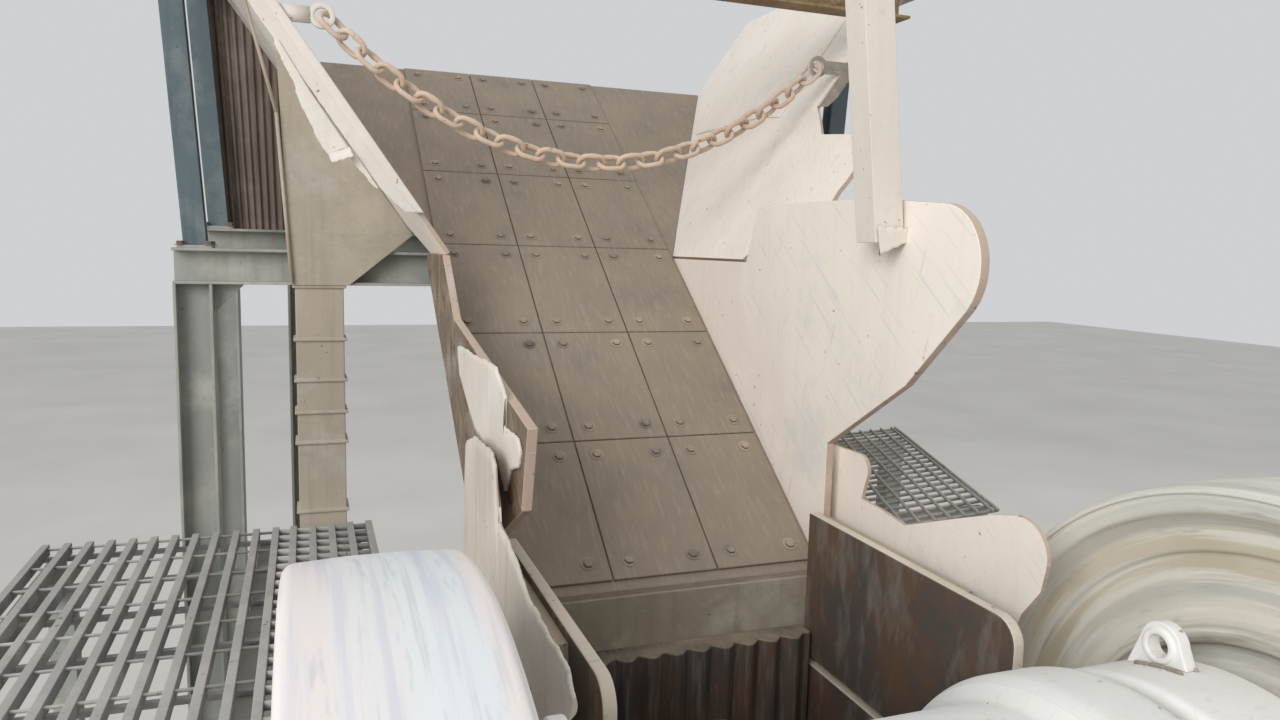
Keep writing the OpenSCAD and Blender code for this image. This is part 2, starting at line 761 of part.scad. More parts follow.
module support_legs() {
    inner_x = pier_x + 60;
    color("#87908a") at_shaft() on_both_sides() {
        h_post(leg_x, row_near, floor_z, beam_z, beam_h, 90);
        h_post(leg_x_far, row_far, floor_z, beam_z_far, beam_h, 90);
        h_post(inner_x, row_far, floor_z, beam_z_far, beam_h, 90);
    }
}

// Stacked box pier with a lip at each joint
module piers() {
    lip = 10;
    lips = [0, 208, 370, 498, 620, 900, 1250, 1650, 2050];
    color("#b5a891") at_shaft() on_both_sides() {
        block([pier_x - pier_w / 2, row_near - beam_h / 2, floor_z],
            [pier_x + pier_w / 2, row_near + beam_h / 2, beam_z]);
        for (drop = lips)
            block([pier_x - pier_w / 2 - lip, row_near - beam_h / 2 - lip, beam_z - drop - 12],
                [pier_x + pier_w / 2 + lip, row_near + beam_h / 2 + lip, beam_z - drop]);
    }
}

// Short props between the cross beams and the chute floor
module floor_props() {
    color("#7f7568") at_shaft() on_both_sides() {
        prop(chute_half - 120, row_near, beam_z + beam_h);
        prop(chute_half + 120, row_far, beam_z_far + beam_h);
    }
}

module prop(x, y, z0) {
    w = 80;
    seat_gap = 0.2;
    under = floor_t / cos(floor_a);
    near_z = floor_z_at(y - w / 2) - under - seat_gap;
    far_z = floor_z_at(y + w / 2) - under - seat_gap;
    yz_plate(x, w, [[y - w / 2, z0], [y + w / 2, z0], [y + w / 2, far_z], [y - w / 2, near_z]]);
}

// Upright plates that fill the corner under each flared wall
module gussets() {
    outer = pier_x + pier_w / 2 + 10;
    skin = hopper_t / cos(flare_a);
    outer_top = outer + 40;
    high = flare_z + (outer_top - chute_half - skin) / tan(flare_a);
    low = flare_z + 60;
    color("#a9a08c") at_shaft() on_both_sides()
        xz_plate(gusset_y, gusset_t, [[pier_x - pier_w / 2 - 20, beam_z], [outer, beam_z],
            [outer_top, high], [flare_x(low) + skin, low]]);
}

module blue_posts() {
    near_out = 38;
    color("#5f7f8c") at_shaft() on_both_sides() {
        leaning_post(post_x + near_out, row_near, beam_z + beam_h, rim_z, post_h);
        leaning_post(post_x, row_far, beam_z_far + beam_h, rim_z, post_h);
    }
}

module rim_beams() {
    color("#7c8580") at_shaft() on_both_sides()
        block([rim_in, mouth_y, rim_z], [rim_in + post_h, hopper_far, rim_z + rim_h]);
}

// Ribbed sheets behind the far posts, standing on the far cross beam
module side_sheets() {
    y = row_far + post_h / 2 + 2;
    z0 = beam_z_far + beam_h;
    z1 = rim_z - 20;
    x0 = pier_x + 60;
    x1 = post_x - (rim_z - z0) * tan(post_lean);
    high_in = flare_x(z1) + hopper_t / cos(flare_a) + 8;
    color("#6f5a48") at_shaft() on_both_sides()
        xz_plate(y, 6, [[x0, z0], [x1, z0], [post_x, z1], [high_in, z1], [x0, flare_z + 480]]);
}

// Walkways

module grating_left() {
    bars = floor((walk_out - walk_in) / bar_pitch);
    cross_step = 300;
    top = grating_z;
    inner_bars = floor((walk_in - walk_inner - bar_w) / bar_pitch);
    color("#8f8577") at_shaft() on_side(-1) {
        for (i = [0:bars])
            block([walk_in + i * bar_pitch, walk_rear, top - bar_d],
                [walk_in + i * bar_pitch + bar_w, walk_front, top]);
        for (i = [0:inner_bars])
            block([walk_inner + i * bar_pitch, 950, top - bar_d],
                [walk_inner + i * bar_pitch + bar_w, walk_front, top]);
        for (y = [walk_rear:cross_step:walk_front])
            block([y > 940 ? walk_inner : walk_in, y, top - bar_d - cross_bar_h],
                [walk_in + bars * bar_pitch + bar_w, y + 20, top - bar_d + 4]);
    }
}

// Rods welded where they cross, laid slantwise, with a doubled rod along the outer edge
module mesh_right() {
    r = mesh_rod_d / 2;
    edge = mesh_pitch * 0.35;
    color("#b0a695") at_shaft() translate([mesh_corner[0], mesh_corner[1], mesh_z]) {
        for (d = [-edge, each [0:mesh_pitch:mesh_wide]])
            rotate([0, 0, mesh_cross_a]) translate([-d, 0, 0]) rotate([-90, 0, -mesh_a - mesh_cross_a])
                cylinder(h = mesh_long, r = r, $fn = 6);
        for (d = [0:mesh_pitch:mesh_long])
            rotate([0, 0, -mesh_a]) translate([0, min(max(d, 2 * r), mesh_long - 2 * r), -r])
                rotate([0, 90, mesh_a + mesh_cross_a]) translate([0, 0, -mesh_wide - r])
                    cylinder(h = mesh_wide + edge + 2 * r, r = r, $fn = 6);
    }
}

module walkway_beams() {
    top = grating_z - bar_d - cross_bar_h;
    mesh_top = mesh_z - 2 * mesh_rod_d + mesh_rod_d / 2;
    color("#7a766c") at_shaft() {
        on_side(-1) {
            for (x = [walk_in + 20, walk_out - walk_beam_w])
                block([x, walk_rear, top - walk_beam_h], [x + walk_beam_w, walk_front, top]);
            block([walk_inner + 45, 950, top - walk_beam_h],
                [walk_inner + 45 + walk_beam_w, walk_front, top]);
        }
        for (y = mesh_beam_y)
            block([mesh_edge(y) - mesh_across - 30, y, mesh_top - walk_beam_h],
                [mesh_edge(y) + 20, y + walk_beam_w, mesh_top]);
    }
}

module walkway_legs() {
    top = grating_z - bar_d - cross_bar_h - walk_beam_h;
    mesh_top = mesh_z - 2 * mesh_rod_d + mesh_rod_d / 2 - walk_beam_h;
    leg_out = walk_leg - walk_beam_w;
    color("#7a766c") at_shaft() {
        on_side(-1) {
            for (y = [walk_rear, 700, walk_front - walk_leg])
                for (x = [walk_in + 20, walk_out - walk_leg])
                    block([x, y, floor_z], [x + walk_leg, y + walk_leg, top]);
            for (y = [950, walk_front - walk_leg])
                block([walk_inner + 45, y, floor_z], [walk_inner + 45 + walk_leg, y + walk_leg, top]);
        }
        for (y = mesh_beam_y)
            for (x = [mesh_edge(y) - mesh_across, mesh_edge(y) - walk_leg])
                block([x, y - leg_out / 2, floor_z], [x + walk_leg, y + walk_leg - leg_out / 2, mesh_top]);
    }
}

// The rotor

module eccentric_shaft() {
    journal_half = jaw_half - 2;
    color("#9a9a98") at_shaft() {
        x_cylinder(-shaft_end, -journal_half, shaft_d / 2);
        translate([0, 0, -throw]) x_cylinder(-journal_half, journal_half, journal_d / 2);
        x_cylinder(journal_half, shaft_end, shaft_d / 2);
    }
}

// A wheel's section as [radius, width] points: flat-belt rim, dished web and stepped hub
module flywheel_shape() {
    r = wheel_d / 2;
    edge = 10;
    crown = 4;
    web_in = (wheel_w - web_t) / 2;
    web_out = wheel_w - web_in;
    rim_in_r = r - rim_t;
    hub_r = hub_d / 2;
    ring_r = ring_d / 2;
    lip = 22;
    groove = 6;
    translate([wheel_in, 0, 0]) rotate([90, 0, 90]) rotate_extrude($fn = 144) polygon([
        [shaft_d / 2, 30], [hub_r - 70, 30], [hub_r - 60, 42], [hub_r, 46], [hub_r + 12, web_in - 6],
        [ring_r - 20, web_in], [ring_r - 14, web_in - 24], [ring_r + 12, web_in - 24],
        [ring_r + 20, web_in], [rim_in_r - 90, web_in], [rim_in_r - 84, web_in - 14],
        [rim_in_r - 30, web_in - 18], [rim_in_r - 8, web_in - 45], [rim_in_r, 22],
        [r - lip - groove, 5], [r - lip - groove, 9], [r - lip, 9], [r - lip, 0],
        [r - crown - edge, 0], [r - crown, edge], [r, wheel_w * 0.35], [r, wheel_w * 0.65],
        [r - crown, wheel_w - edge], [r - crown - edge, wheel_w], [r - lip, wheel_w],
        [r - lip, wheel_w - 9], [r - lip - groove, wheel_w - 9], [r - lip - groove, wheel_w - 5],
        [rim_in_r, wheel_w - 22], [rim_in_r - 8, web_out + 45], [rim_in_r - 30, web_out + 18],
        [rim_in_r - 84, web_out + 14], [rim_in_r - 90, web_out], [ring_r + 20, web_out],
        [ring_r + 12, web_out + 24], [ring_r - 14, web_out + 24], [ring_r - 20, web_out],
        [hub_r + 12, web_out + 6],
        [hub_r, wheel_w - 20], [hub_r - 10, wheel_w - 8], [shaft_d / 2, wheel_w - 8]]);
}

module flywheel_left() {
    color("#e6e6e3") at_shaft() on_side(-1) flywheel_shape();
}

module flywheel_right() {
    color("#c8c3b2") at_shaft() on_side(1) flywheel_shape();
}

// The swing jaw, drawn about the middle of its orbit and set down by the throw

module at_orbit() {
    at_shaft() translate([0, 0, -throw]) children();
}

// Moves shapes to the swing jaw's slope: y out of its face, z up along it
module on_jaw_slope() {
    translate([0, swing_foot, jaw_bottom]) rotate([jaw_a, 0, 0]) children();
}

module pitman_barrel() {
    r = barrel_d / 2;
    rc = collar_d / 2;
    x1 = jaw_half;
    x0 = x1 - collar_w;
    soft = 30;
    rotate([90, 0, 90]) rotate_extrude() polygon(concat(
        [[0, -x1], [rc - soft, -x1]], arc(rc - soft, -x1 + soft, soft, -90, 0, 5),
        [[rc, -x0 - 40], [rc - 12, -x0 - 8], [r, -x0 + 12], [r, x0 - 12], [rc - 12, x0 + 8],
        [rc, x0 + 40]], arc(rc - soft, x1 - soft, soft, 0, 90, 5), [[0, x1]]));
}

module pitman() {
    back = -die_t - pitman_plate_t;
    half = jaw_half - 12;
    rib_w = 40;
    rib_low = front_seat + [0, 140];
    color("#d5d1c6") at_orbit() difference() {
        union() {
            pitman_barrel();
            on_jaw_slope() block([-half, back, 0], [half, -die_t, jaw_len - 60]);
            on_jaw_slope() block([-half, -toggle_back, 0], [half, back + 1, 200]);
            for (x = [-half, -half / 3 - rib_w / 2, half / 3 - rib_w / 2, half - rib_w])
                yz_plate(x, rib_w, [[-300, -300], rib_low, [swing_foot - 300, jaw_bottom + 200],
                    [swing_face - 150, -100], [0, -100]]);
            for (s = [-1, 1])
                yz_plate(s * rod_span / 2 - 40, 80, [[rod_front - 90, rod_z - 45],
                    [rod_front + 20, rod_z - 45], [rod_front + 160, jaw_bottom - 90],
                    [rod_front - 60, front_seat[1] - 20]]);
        }
        x_cylinder(-jaw_half - eps, jaw_half + eps, journal_d / 2 + journal_gap);
        // Clear of the jaw plate's back
        on_jaw_slope() block([-jaw_half - eps, -die_t, jaw_len - 160], [jaw_half + eps, 60, jaw_len]);
        // Open seat for the toggle's front end
        translate([0, front_seat[0], front_seat[1]]) {
            x_cylinder(-jaw_half - eps, jaw_half + eps, open_seat_r);
            rotate([toggle_a, 0, 0])
                block([-jaw_half - eps, -400, -toggle_t / 2 - throw - move_gap],
                    [jaw_half + eps, 0, toggle_t / 2 + throw + move_gap]);
        }
        for (s = [-1, 1])
            translate([s * rod_span / 2, rod_front - 200, rod_z]) rotate([-90, 0, 0])
                cylinder(h = 260, d = rod_d);
    }
}

module swing_jaw_plate() {
    color("#5d5148") at_orbit() on_jaw_slope() linear_extrude(jaw_len) jaw_plate_outline();
}

module tension_rods() {
    nut_h = 34;
    back_y = spring_front - spring_len - washer_t - 2 * nut_h;
    color("#8b857b") at_orbit() for (s = [-1, 1]) translate([s * rod_span / 2, 0, rod_z])
        rotate([-90, 0, 0]) {
            translate([0, 0, back_y]) cylinder(h = rod_front + 20 - back_y, d = rod_d);
            translate([0, 0, spring_front]) cylinder(h = washer_t, d = rod_d * 3);
            translate([0, 0, spring_front - spring_len - washer_t]) cylinder(h = washer_t, d = rod_d * 3);
            translate([0, 0, spring_front - spring_len - washer_t - nut_h])
                cylinder(h = nut_h, d = rod_d * 1.8, $fn = 6);
        }
}

// A coil spring about the Y axis, as one sweep of a round section along a helix
module coil_spring(r, wire, length, turns) {
    sides = 8;
    steps = 16 * turns;
    rise = (length - wire) / steps;
    rings = [for (i = [0:steps]) let (a = i * 22.5) for (k = [0:sides - 1])
        let (b = 360 * k / sides, q = r + wire / 2 * cos(b))
            [q * cos(a), wire / 2 + i * rise + wire / 2 * sin(b), q * sin(a)]];
    skin = [for (i = [0:steps - 1]) for (k = [0:sides - 1])
        let (n = (k + 1) % sides) [i * sides + k, i * sides + n, (i + 1) * sides + n, (i + 1) * sides + k]];
    polyhedron(rings, concat([[for (k = [sides - 1:-1:0]) k]], skin,
        [[for (k = [0:sides - 1]) steps * sides + k]]), convexity = 6);
}

module tension_springs() {
    color("#4f4a44") at_orbit() for (s = [-1, 1])
        translate([s * rod_span / 2, spring_front - spring_len, rod_z])
            coil_spring(rod_d, 18, spring_len, 6);
}

foot_rails();
side_wall_left();
side_wall_right();
front_wall();
rear_wall();
fixed_jaw_plate();
cheek_plates();
bearing_bases();
bearing_caps();
lifting_lugs();
toggle_seat();
toggle_shims();
toggle_plate();
skirt_left();
skirt_right();
chute_side_left();
chute_patch();
chute_side_right();
chute_floor();
hopper_wall_left();
hopper_wall_right();
mouth_flange_left();
mouth_flange_right();
tie_beam();
guard_post();
chain();
cross_beams();
support_legs();
piers();
floor_props();
gussets();
blue_posts();
rim_beams();
side_sheets();
grating_left();
mesh_right();
walkway_beams();
walkway_legs();
eccentric_shaft();
flywheel_left();
flywheel_right();
pitman();
swing_jaw_plate();
tension_rods();
tension_springs();
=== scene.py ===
"""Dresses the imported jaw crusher: castings, torn plates, chain, steelwork, bolts, welds and every finish."""

import json
import logging
from dataclasses import dataclass, field
from enum import Enum
from typing import Any

import bmesh
import bpy
import numpy as np
from mathutils import Matrix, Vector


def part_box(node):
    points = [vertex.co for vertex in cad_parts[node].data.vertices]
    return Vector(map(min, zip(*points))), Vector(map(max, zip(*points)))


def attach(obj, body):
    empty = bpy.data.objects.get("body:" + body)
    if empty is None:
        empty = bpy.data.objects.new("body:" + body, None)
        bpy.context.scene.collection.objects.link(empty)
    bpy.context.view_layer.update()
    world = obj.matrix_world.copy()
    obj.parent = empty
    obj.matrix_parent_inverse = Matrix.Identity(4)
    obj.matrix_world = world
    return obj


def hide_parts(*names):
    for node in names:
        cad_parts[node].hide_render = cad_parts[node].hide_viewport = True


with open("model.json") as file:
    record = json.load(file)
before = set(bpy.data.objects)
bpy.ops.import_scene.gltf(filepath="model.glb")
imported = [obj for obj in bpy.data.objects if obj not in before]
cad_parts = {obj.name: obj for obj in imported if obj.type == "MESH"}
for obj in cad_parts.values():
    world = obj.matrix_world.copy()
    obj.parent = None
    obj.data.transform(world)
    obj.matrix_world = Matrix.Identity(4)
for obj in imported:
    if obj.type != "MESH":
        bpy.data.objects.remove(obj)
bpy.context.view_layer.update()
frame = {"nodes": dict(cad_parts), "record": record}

log = logging.getLogger("jaw_crusher")
Array = np.ndarray
TURN = 2.0 * np.pi
MM = 0.001


class Side(Enum):
    """The two sides of the machine, by the sign of X."""

    LEFT = -1
    RIGHT = 1

    @property
    def turn(self) -> "Array":
        """The turn that points a bolt's axis away from the machine's middle."""
        return facing(np.array([self.value, 0.0, 0.0]))


class Body(Enum):
    """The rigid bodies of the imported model."""

    FRAME = "frame"
    ROTOR = "rotor"
    SWING = "swing_jaw"


def node_box(name: str) -> Array:
    """Gives a CAD node's lowest and highest corners.

    Args:
        name: the node's name.

    Returns:
        An array of two rows, in metres.
    """
    low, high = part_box(name)
    return np.array([list(low), list(high)])


SHAFT = node_box("flywheel_right").mean(axis=0) * np.array([0.0, 1.0, 1.0])
THROW = 0.019
# Places of the chute, hopper, posts and beams, measured from the shaft axis
FLARE = np.radians(35.0)
FLARE_START = 1.200
CHUTE_HALF = 0.500
FLOOR_SLOPE = np.radians(36.0)
FLOOR_START = np.array([0.0, 1.190, 0.2702])
POST_LEAN = np.radians(3.5)
POST_TOP = 2.280
POST_X = float(node_box("rim_beams")[1, 0]) - 0.040
NEAR_POST_X = POST_X + 0.038
NEAR_TOP, FAR_TOP = 1.190, 1.270
NEAR_ROW, FAR_ROW = 2.700, 3.300
LEG_HALF = 0.0675


def flare_x(z: Any) -> Any:
    """Half the hopper's inner width at a height above the shaft axis, where its walls flare."""
    return CHUTE_HALF + (z - FLARE_START) * np.tan(FLARE)


def leaned_x(top_x: float, z: Any) -> Any:
    """Where a leaning post's middle stands at a height above the shaft axis, from its x at the top."""
    return top_x - (POST_TOP - z) * np.tan(POST_LEAN)


# Shapes


@dataclass
class Shell:
    """Points and faces gathered from grids, boxes and stamps before they become one mesh."""

    points: list[Array] = field(default_factory=list)
    faces: list[Array] = field(default_factory=list)
    count: int = 0

    def add(self, points: Array, faces: Array) -> "Shell":
        """Adds points and the faces between them.

        Args:
            points: an array of N rows of x, y, z.
            faces: an array of rows of three or four indexes into points.

        Returns:
            The shell itself, so that calls can be chained.
        """
        self.points.append(np.asarray(points, float).reshape(-1, 3))
        self.faces.append(np.asarray(faces, int) + self.count)
        self.count += len(self.points[-1])
        return self

    def grid(self, points: Array, wrap_rows: bool = False, wrap_cols: bool = False,
             ends: bool = False) -> "Shell":
        """Adds a surface given as a grid of points, as quads between neighbours.

        Args:
            points: rows by columns by x, y, z.
            wrap_rows: joins the last row to the first.
            wrap_cols: joins the last column to the first.
            ends: closes the first and last rows with fans, where the columns wrap.

        Returns:
            The shell itself.
        """
        rows, cols = points.shape[:2]
        i = np.arange(rows if wrap_rows else rows - 1)[:, None]
        j = np.arange(cols if wrap_cols else cols - 1)[None, :]
        after, beside = (i + 1) % rows, (j + 1) % cols
        corners = [i * cols + j, after * cols + j, after * cols + beside, i * cols + beside]
        faces = np.stack(np.broadcast_arrays(*corners), axis=-1).reshape(-1, 4)
        start = self.count
        self.add(points.reshape(-1, 3), faces)
        if ends:
            ring = np.arange(cols)
            for row in (0, rows - 1):
                hub = points[row].mean(axis=0)[None]
                fan = np.stack([row * cols + ring, row * cols + np.roll(ring, -1)], axis=-1) + start
                centre = np.full((cols, 1), self.count)
                self.points.append(hub)
                self.faces.append(np.hstack([fan, centre]))
                self.count += 1
        return self

    def solid(self, points: Array) -> "Shell":
        """Adds a grid as a closed tube, whose columns wrap and whose ends are capped."""
        return self.grid(points, wrap_cols=True, ends=True)

    def loop(self, points: Array) -> "Shell":
        """Adds a grid as a closed ring, whose rows and columns both wrap."""
        return self.grid(points, wrap_rows=True, wrap_cols=True)

    def join(self, other: "Shell") -> "Shell":
        """Adds another shell where it stands."""
        return self.stamp(other, np.zeros(3), np.eye(3))

    def boxes(self, lows: Array, highs: Array) -> "Shell":
        """Adds upright boxes.

        Args:
            lows: N rows of lowest corners.
            highs: N rows of highest corners.

        Returns:
            The shell itself.
        """
        lows, highs = np.atleast_2d(lows).astype(float), np.atleast_2d(highs).astype(float)
        pick = np.array([[x, y, z] for z in (0, 1) for y in (0, 1) for x in (0, 1)])
        corners = lows[:, None] + pick[None] * (highs - lows)[:, None]
        sides = np.array([[0, 2, 3, 1], [4, 5, 7, 6], [0, 1, 5, 4], [2, 6, 7, 3], [0, 4, 6, 2], [1, 3, 7, 5]])
        faces = sides[None] + 8 * np.arange(len(lows))[:, None, None]
        return self.add(corners.reshape(-1, 3), faces.reshape(-1, 4))

    def stamp(self, other: "Shell", origins: Array, turns: Array) -> "Shell":
        """Adds a copy of another shell at each origin.

        Args:
            other: the shell to copy, drawn about its own origin.
            origins: N rows of x, y, z.
            turns: one 3 by 3 matrix whose columns are the copy's axes, or N of them.

        Returns:
            The shell itself.
        """
        origins = np.atleast_2d(origins)
        turns = np.broadcast_to(turns, (len(origins), 3, 3))
        base = np.vstack(other.points)
        placed = np.einsum("nij,kj->nki", turns, base) + origins[:, None]
        start = self.count
        self.points.append(placed.reshape(-1, 3))
        shift = start + len(base) * np.arange(len(origins))[:, None, None]
        for faces in other.faces:
            self.faces.append((faces[None] + shift).reshape(-1, faces.shape[1]))
        self.count += placed.shape[0] * placed.shape[1]
        return self

    def build(self, name: str, smooth: bool = True, outward: bool = True) -> bpy.types.Object:
        """Makes the mesh object, at the origin and unturned.

        Args:
            name: the object's name.
            smooth: shades its faces smooth.
            outward: recalculates its normals to point out of each closed part.

        Returns:
            The new object, linked into the scene.
        """
        mesh = bpy.data.meshes.new(name)
        corners = [face for block in self.faces for face in block.tolist()]
        mesh.from_pydata(np.vstack(self.points).tolist(), [], corners)
        if outward:
            form = bmesh.new()
            form.from_mesh(mesh)
            bmesh.ops.recalc_face_normals(form, faces=form.faces)
            form.to_mesh(mesh)
            form.free()
        mesh.polygons.foreach_set("use_smooth", np.full(len(mesh.polygons), smooth))
        mesh.update()
        piece = bpy.data.objects.new(name, mesh)
        bpy.context.scene.collection.objects.link(piece)
        return piece


def circle(count: int, start: float = 0.0) -> Array:
    """Evenly spaced directions round a circle.

    Args:
        count: how many.
        start: angle of the first.

    Returns:
        count rows of cosine and sine.
    """
    angles = np.linspace(0.0, TURN, count, endpoint=False) + start
    return np.stack([np.cos(angles), np.sin(angles)], axis=-1)


def around(x: float, y: float, z: float) -> Array:
    """Four places at plus and minus x and y.

    Args:
        x: half their spacing along X.
        y: half their spacing along Y.
        z: their height.

    Returns:
        Four rows of x, y, z.
    """
    return np.array([[a * x, b * y, z] for a in (-1, 1) for b in (-1, 1)])


def rounded(corners: Array, radius: float, steps: int = 4) -> Array:
    """Rounds each corner of a closed outline with a quadratic Bezier arc.

    Args:
        corners: N rows of points, in order.
        radius: how far along each edge the rounding starts, at most 0.45 of the edge.
        steps: points along each arc.

    Returns:
        N times steps rows. Each arc runs A(1-t)^2 + 2Bt(1-t) + Ct^2 from edge to edge.
    """
    before = np.roll(corners, 1, axis=0) - corners
    after = np.roll(corners, -1, axis=0) - corners
    reach_a = np.minimum(radius / np.linalg.norm(before, axis=1), 0.45)[:, None]
    reach_c = np.minimum(radius / np.linalg.norm(after, axis=1), 0.45)[:, None]
    start, end = corners + before * reach_a, corners + after * reach_c
    t = np.linspace(0.0, 1.0, steps)[None, :, None]
    arcs = start[:, None] * (1 - t) ** 2 + 2 * corners[:, None] * t * (1 - t) + end[:, None] * t**2
    return arcs.reshape(-1, corners.shape[1])


def turned(profile: Array, centre: Array, segments: int) -> Array:
    """Turns a closed profile about an axis along X.

    Args:
        profile: rows of x and radius.
        centre: the axis's y and z.
        segments: points around the axis.

    Returns:
        A grid of segments by profile points: y = cy + r cos a, z = cz + r sin a.
    """
    a = np.linspace(0.0, TURN, segments, endpoint=False)[:, None]
    x, r = profile[:, 0][None], profile[:, 1][None]
    y, z = centre[0] + r * np.cos(a), centre[1] + r * np.sin(a)
    return np.stack([np.broadcast_to(x, y.shape), y, z], axis=-1)


def tube(path: Array, radius: float, across: Array, sides: int = 10, closed: bool = False) -> Array:
    """Carries a circle along a path.

    Args:
        path: N rows of x, y, z.
        radius: the circle's radius, one number or one for each point.
        across: one or N vectors that stay square to the path.
        sides: points round the circle.
        closed: takes the path as a loop.

    Returns:
        A grid of N by sides points: path + r (cos b across + sin b (tangent x across)).
    """
    if closed:
        tangent = np.roll(path, -1, axis=0) - np.roll(path, 1, axis=0)
    else:
        tangent = np.gradient(path, axis=0)
    tangent /= np.linalg.norm(tangent, axis=1)[:, None]
    across = np.broadcast_to(across, path.shape).astype(float)
    across = across - (across * tangent).sum(axis=1)[:, None] * tangent
    across = across / np.linalg.norm(across, axis=1)[:, None]
    other = np.cross(tangent, across)
    b = np.linspace(0.0, TURN, sides, endpoint=False)[None, :, None]
    r = np.broadcast_to(radius, (len(path),))[:, None, None]
    return path[:, None] + r * (np.cos(b) * across[:, None] + np.sin(b) * other[:, None])


def wander(count: int, seed: int, waves: int = 7, longest: float = 1.0) -> Array:
    """A repeatable wavy line between -1 and 1, the sum of sines with falling height.

    Args:
        count: points along it.
        seed: fixes the phases.
        waves: how many sines are added.
        longest: whole turns that the first sine makes along the line.

    Returns:
        One value for each point.
    """
    phases = np.random.default_rng(seed).uniform(0.0, TURN, waves)
    s = np.linspace(0.0, 1.0, count)[None]
    order = np.arange(1, waves + 1)[:, None]
    rates = longest * order**1.45
    line = (np.sin(TURN * rates * s + phases[:, None]) / order).sum(axis=0)
    return line / np.abs(line).max()


def along(points: Array, count: int) -> Array:
    """Spaces points evenly along a broken line.

    Args:
        points: N rows, the line's corners.
        count: points wanted.

    Returns:
        count rows at equal steps of length.
    """
    lengths = np.concatenate([[0.0], np.cumsum(np.linalg.norm(np.diff(points, axis=0), axis=1))])
    at = np.linspace(0.0, lengths[-1], count)
    return np.stack([np.interp(at, lengths, points[:, k]) for k in range(points.shape[1])], axis=-1)


def finish_edges(piece: bpy.types.Object, width: float, segments: int = 2, angle: float = 0.6) -> None:
    """Bevels a piece's hard edges and evens its shading.

    Args:
        piece: the mesh object.
        width: the bevel's width in metres.
        segments: faces across the bevel.
        angle: radians above which an edge is hard.
    """
    bevel = piece.modifiers.new("eased_edges", "BEVEL")
    bevel.width = width
    bevel.segments = segments
    bevel.limit_method = "ANGLE"
    bevel.angle_limit = angle
    weighted = piece.modifiers.new("even_shading", "WEIGHTED_NORMAL")
    weighted.keep_sharp = True


def hex_bolt(across: float, height: float) -> Shell:
    """A hexagon head on a round washer, standing on z = 0 about the Z axis.

    Args:
        across: width across the flats.
        height: height of the head.

    Returns:
        The shell. The head is a six-sided prism whose top edge is drawn in.
    """
    six = np.linspace(0.0, TURN, 6, endpoint=False)
    many = np.linspace(0.0, TURN, 16, endpoint=False)
    thick = height * 0.22
    head_r = across / np.sqrt(3.0)

    def rings(angles: Array, radii: list[float], heights: list[float]) -> Array:
        """Stacks circles of given radii and heights into a grid."""
        r, z = np.array(radii)[:, None], np.array(heights)[:, None]
        flat = [r * np.cos(angles), r * np.sin(angles), np.broadcast_to(z, (len(radii), len(angles)))]
        return np.stack(flat, axis=-1)

    shell = Shell().solid(rings(many, [across * 0.9, across * 0.9, across * 0.84], [0.0, thick * 0.7, thick]))
    tops = [thick * 0.9, height * 0.88, height]
    return shell.solid(rings(six, [head_r, head_r, head_r * 0.84], tops))


def facing(axis: Array) -> Array:
    """A turn whose third column is the given axis.

    Args:
        axis: the direction that Z is turned to.

    Returns:
        A 3 by 3 matrix.
    """
    z = np.asarray(axis, float) / np.linalg.norm(axis)
    helper = np.array([0.0, 0.0, 1.0]) if abs(z[2]) < 0.9 else np.array([1.0, 0.0, 0.0])
    x = np.cross(helper, z)
    x /= np.linalg.norm(x)
    return np.stack([x, np.cross(z, x), z], axis=-1)


def weld_bead(start: Array, end: Array, radius: float, pitch: float = 0.011) -> Array:
    """A fillet weld's rippled bead between two points.

    Args:
        start: one end.
        end: the other end.
        radius: the bead's mean radius.
        pitch: spacing of its ripples.

    Returns:
        A grid whose radius swells as 1 + 0.16 |sin| once a ripple.
    """
    start, end = np.asarray(start, float), np.asarray(end, float)
    length = np.linalg.norm(end - start)
    count = max(8, min(160, int(length / (pitch * 0.5))))
    s = np.linspace(0.0, 1.0, count)
    swell = 1.0 + 0.16 * np.abs(np.sin(np.pi * s * length / pitch))
    # The seed comes from the bead's length in mm
    swell += 0.10 * wander(count, int(length * 1000) % 997)
    swell[[0, -1]] *= 0.3
    path = start + (end - start) * s[:, None]
    return tube(path, radius * swell, facing(end - start)[:, 0], sides=8)


def bars_between(starts: Array, ends: Array, radius: float, sides: int = 8) -> Shell:
    """Round rods from each start to each end, closed at both ends.

    Args:
        starts: N rows.
        ends: N rows.
        radius: the rods' radius.
        sides: flats round a rod.

    Returns:
        The shell.
    """
    shell = Shell()
    for start, end in zip(np.atleast_2d(starts), np.atleast_2d(ends)):
        shell.solid(tube(np.stack([start, end]), radius, facing(end - start)[:, 0], sides))
    return shell


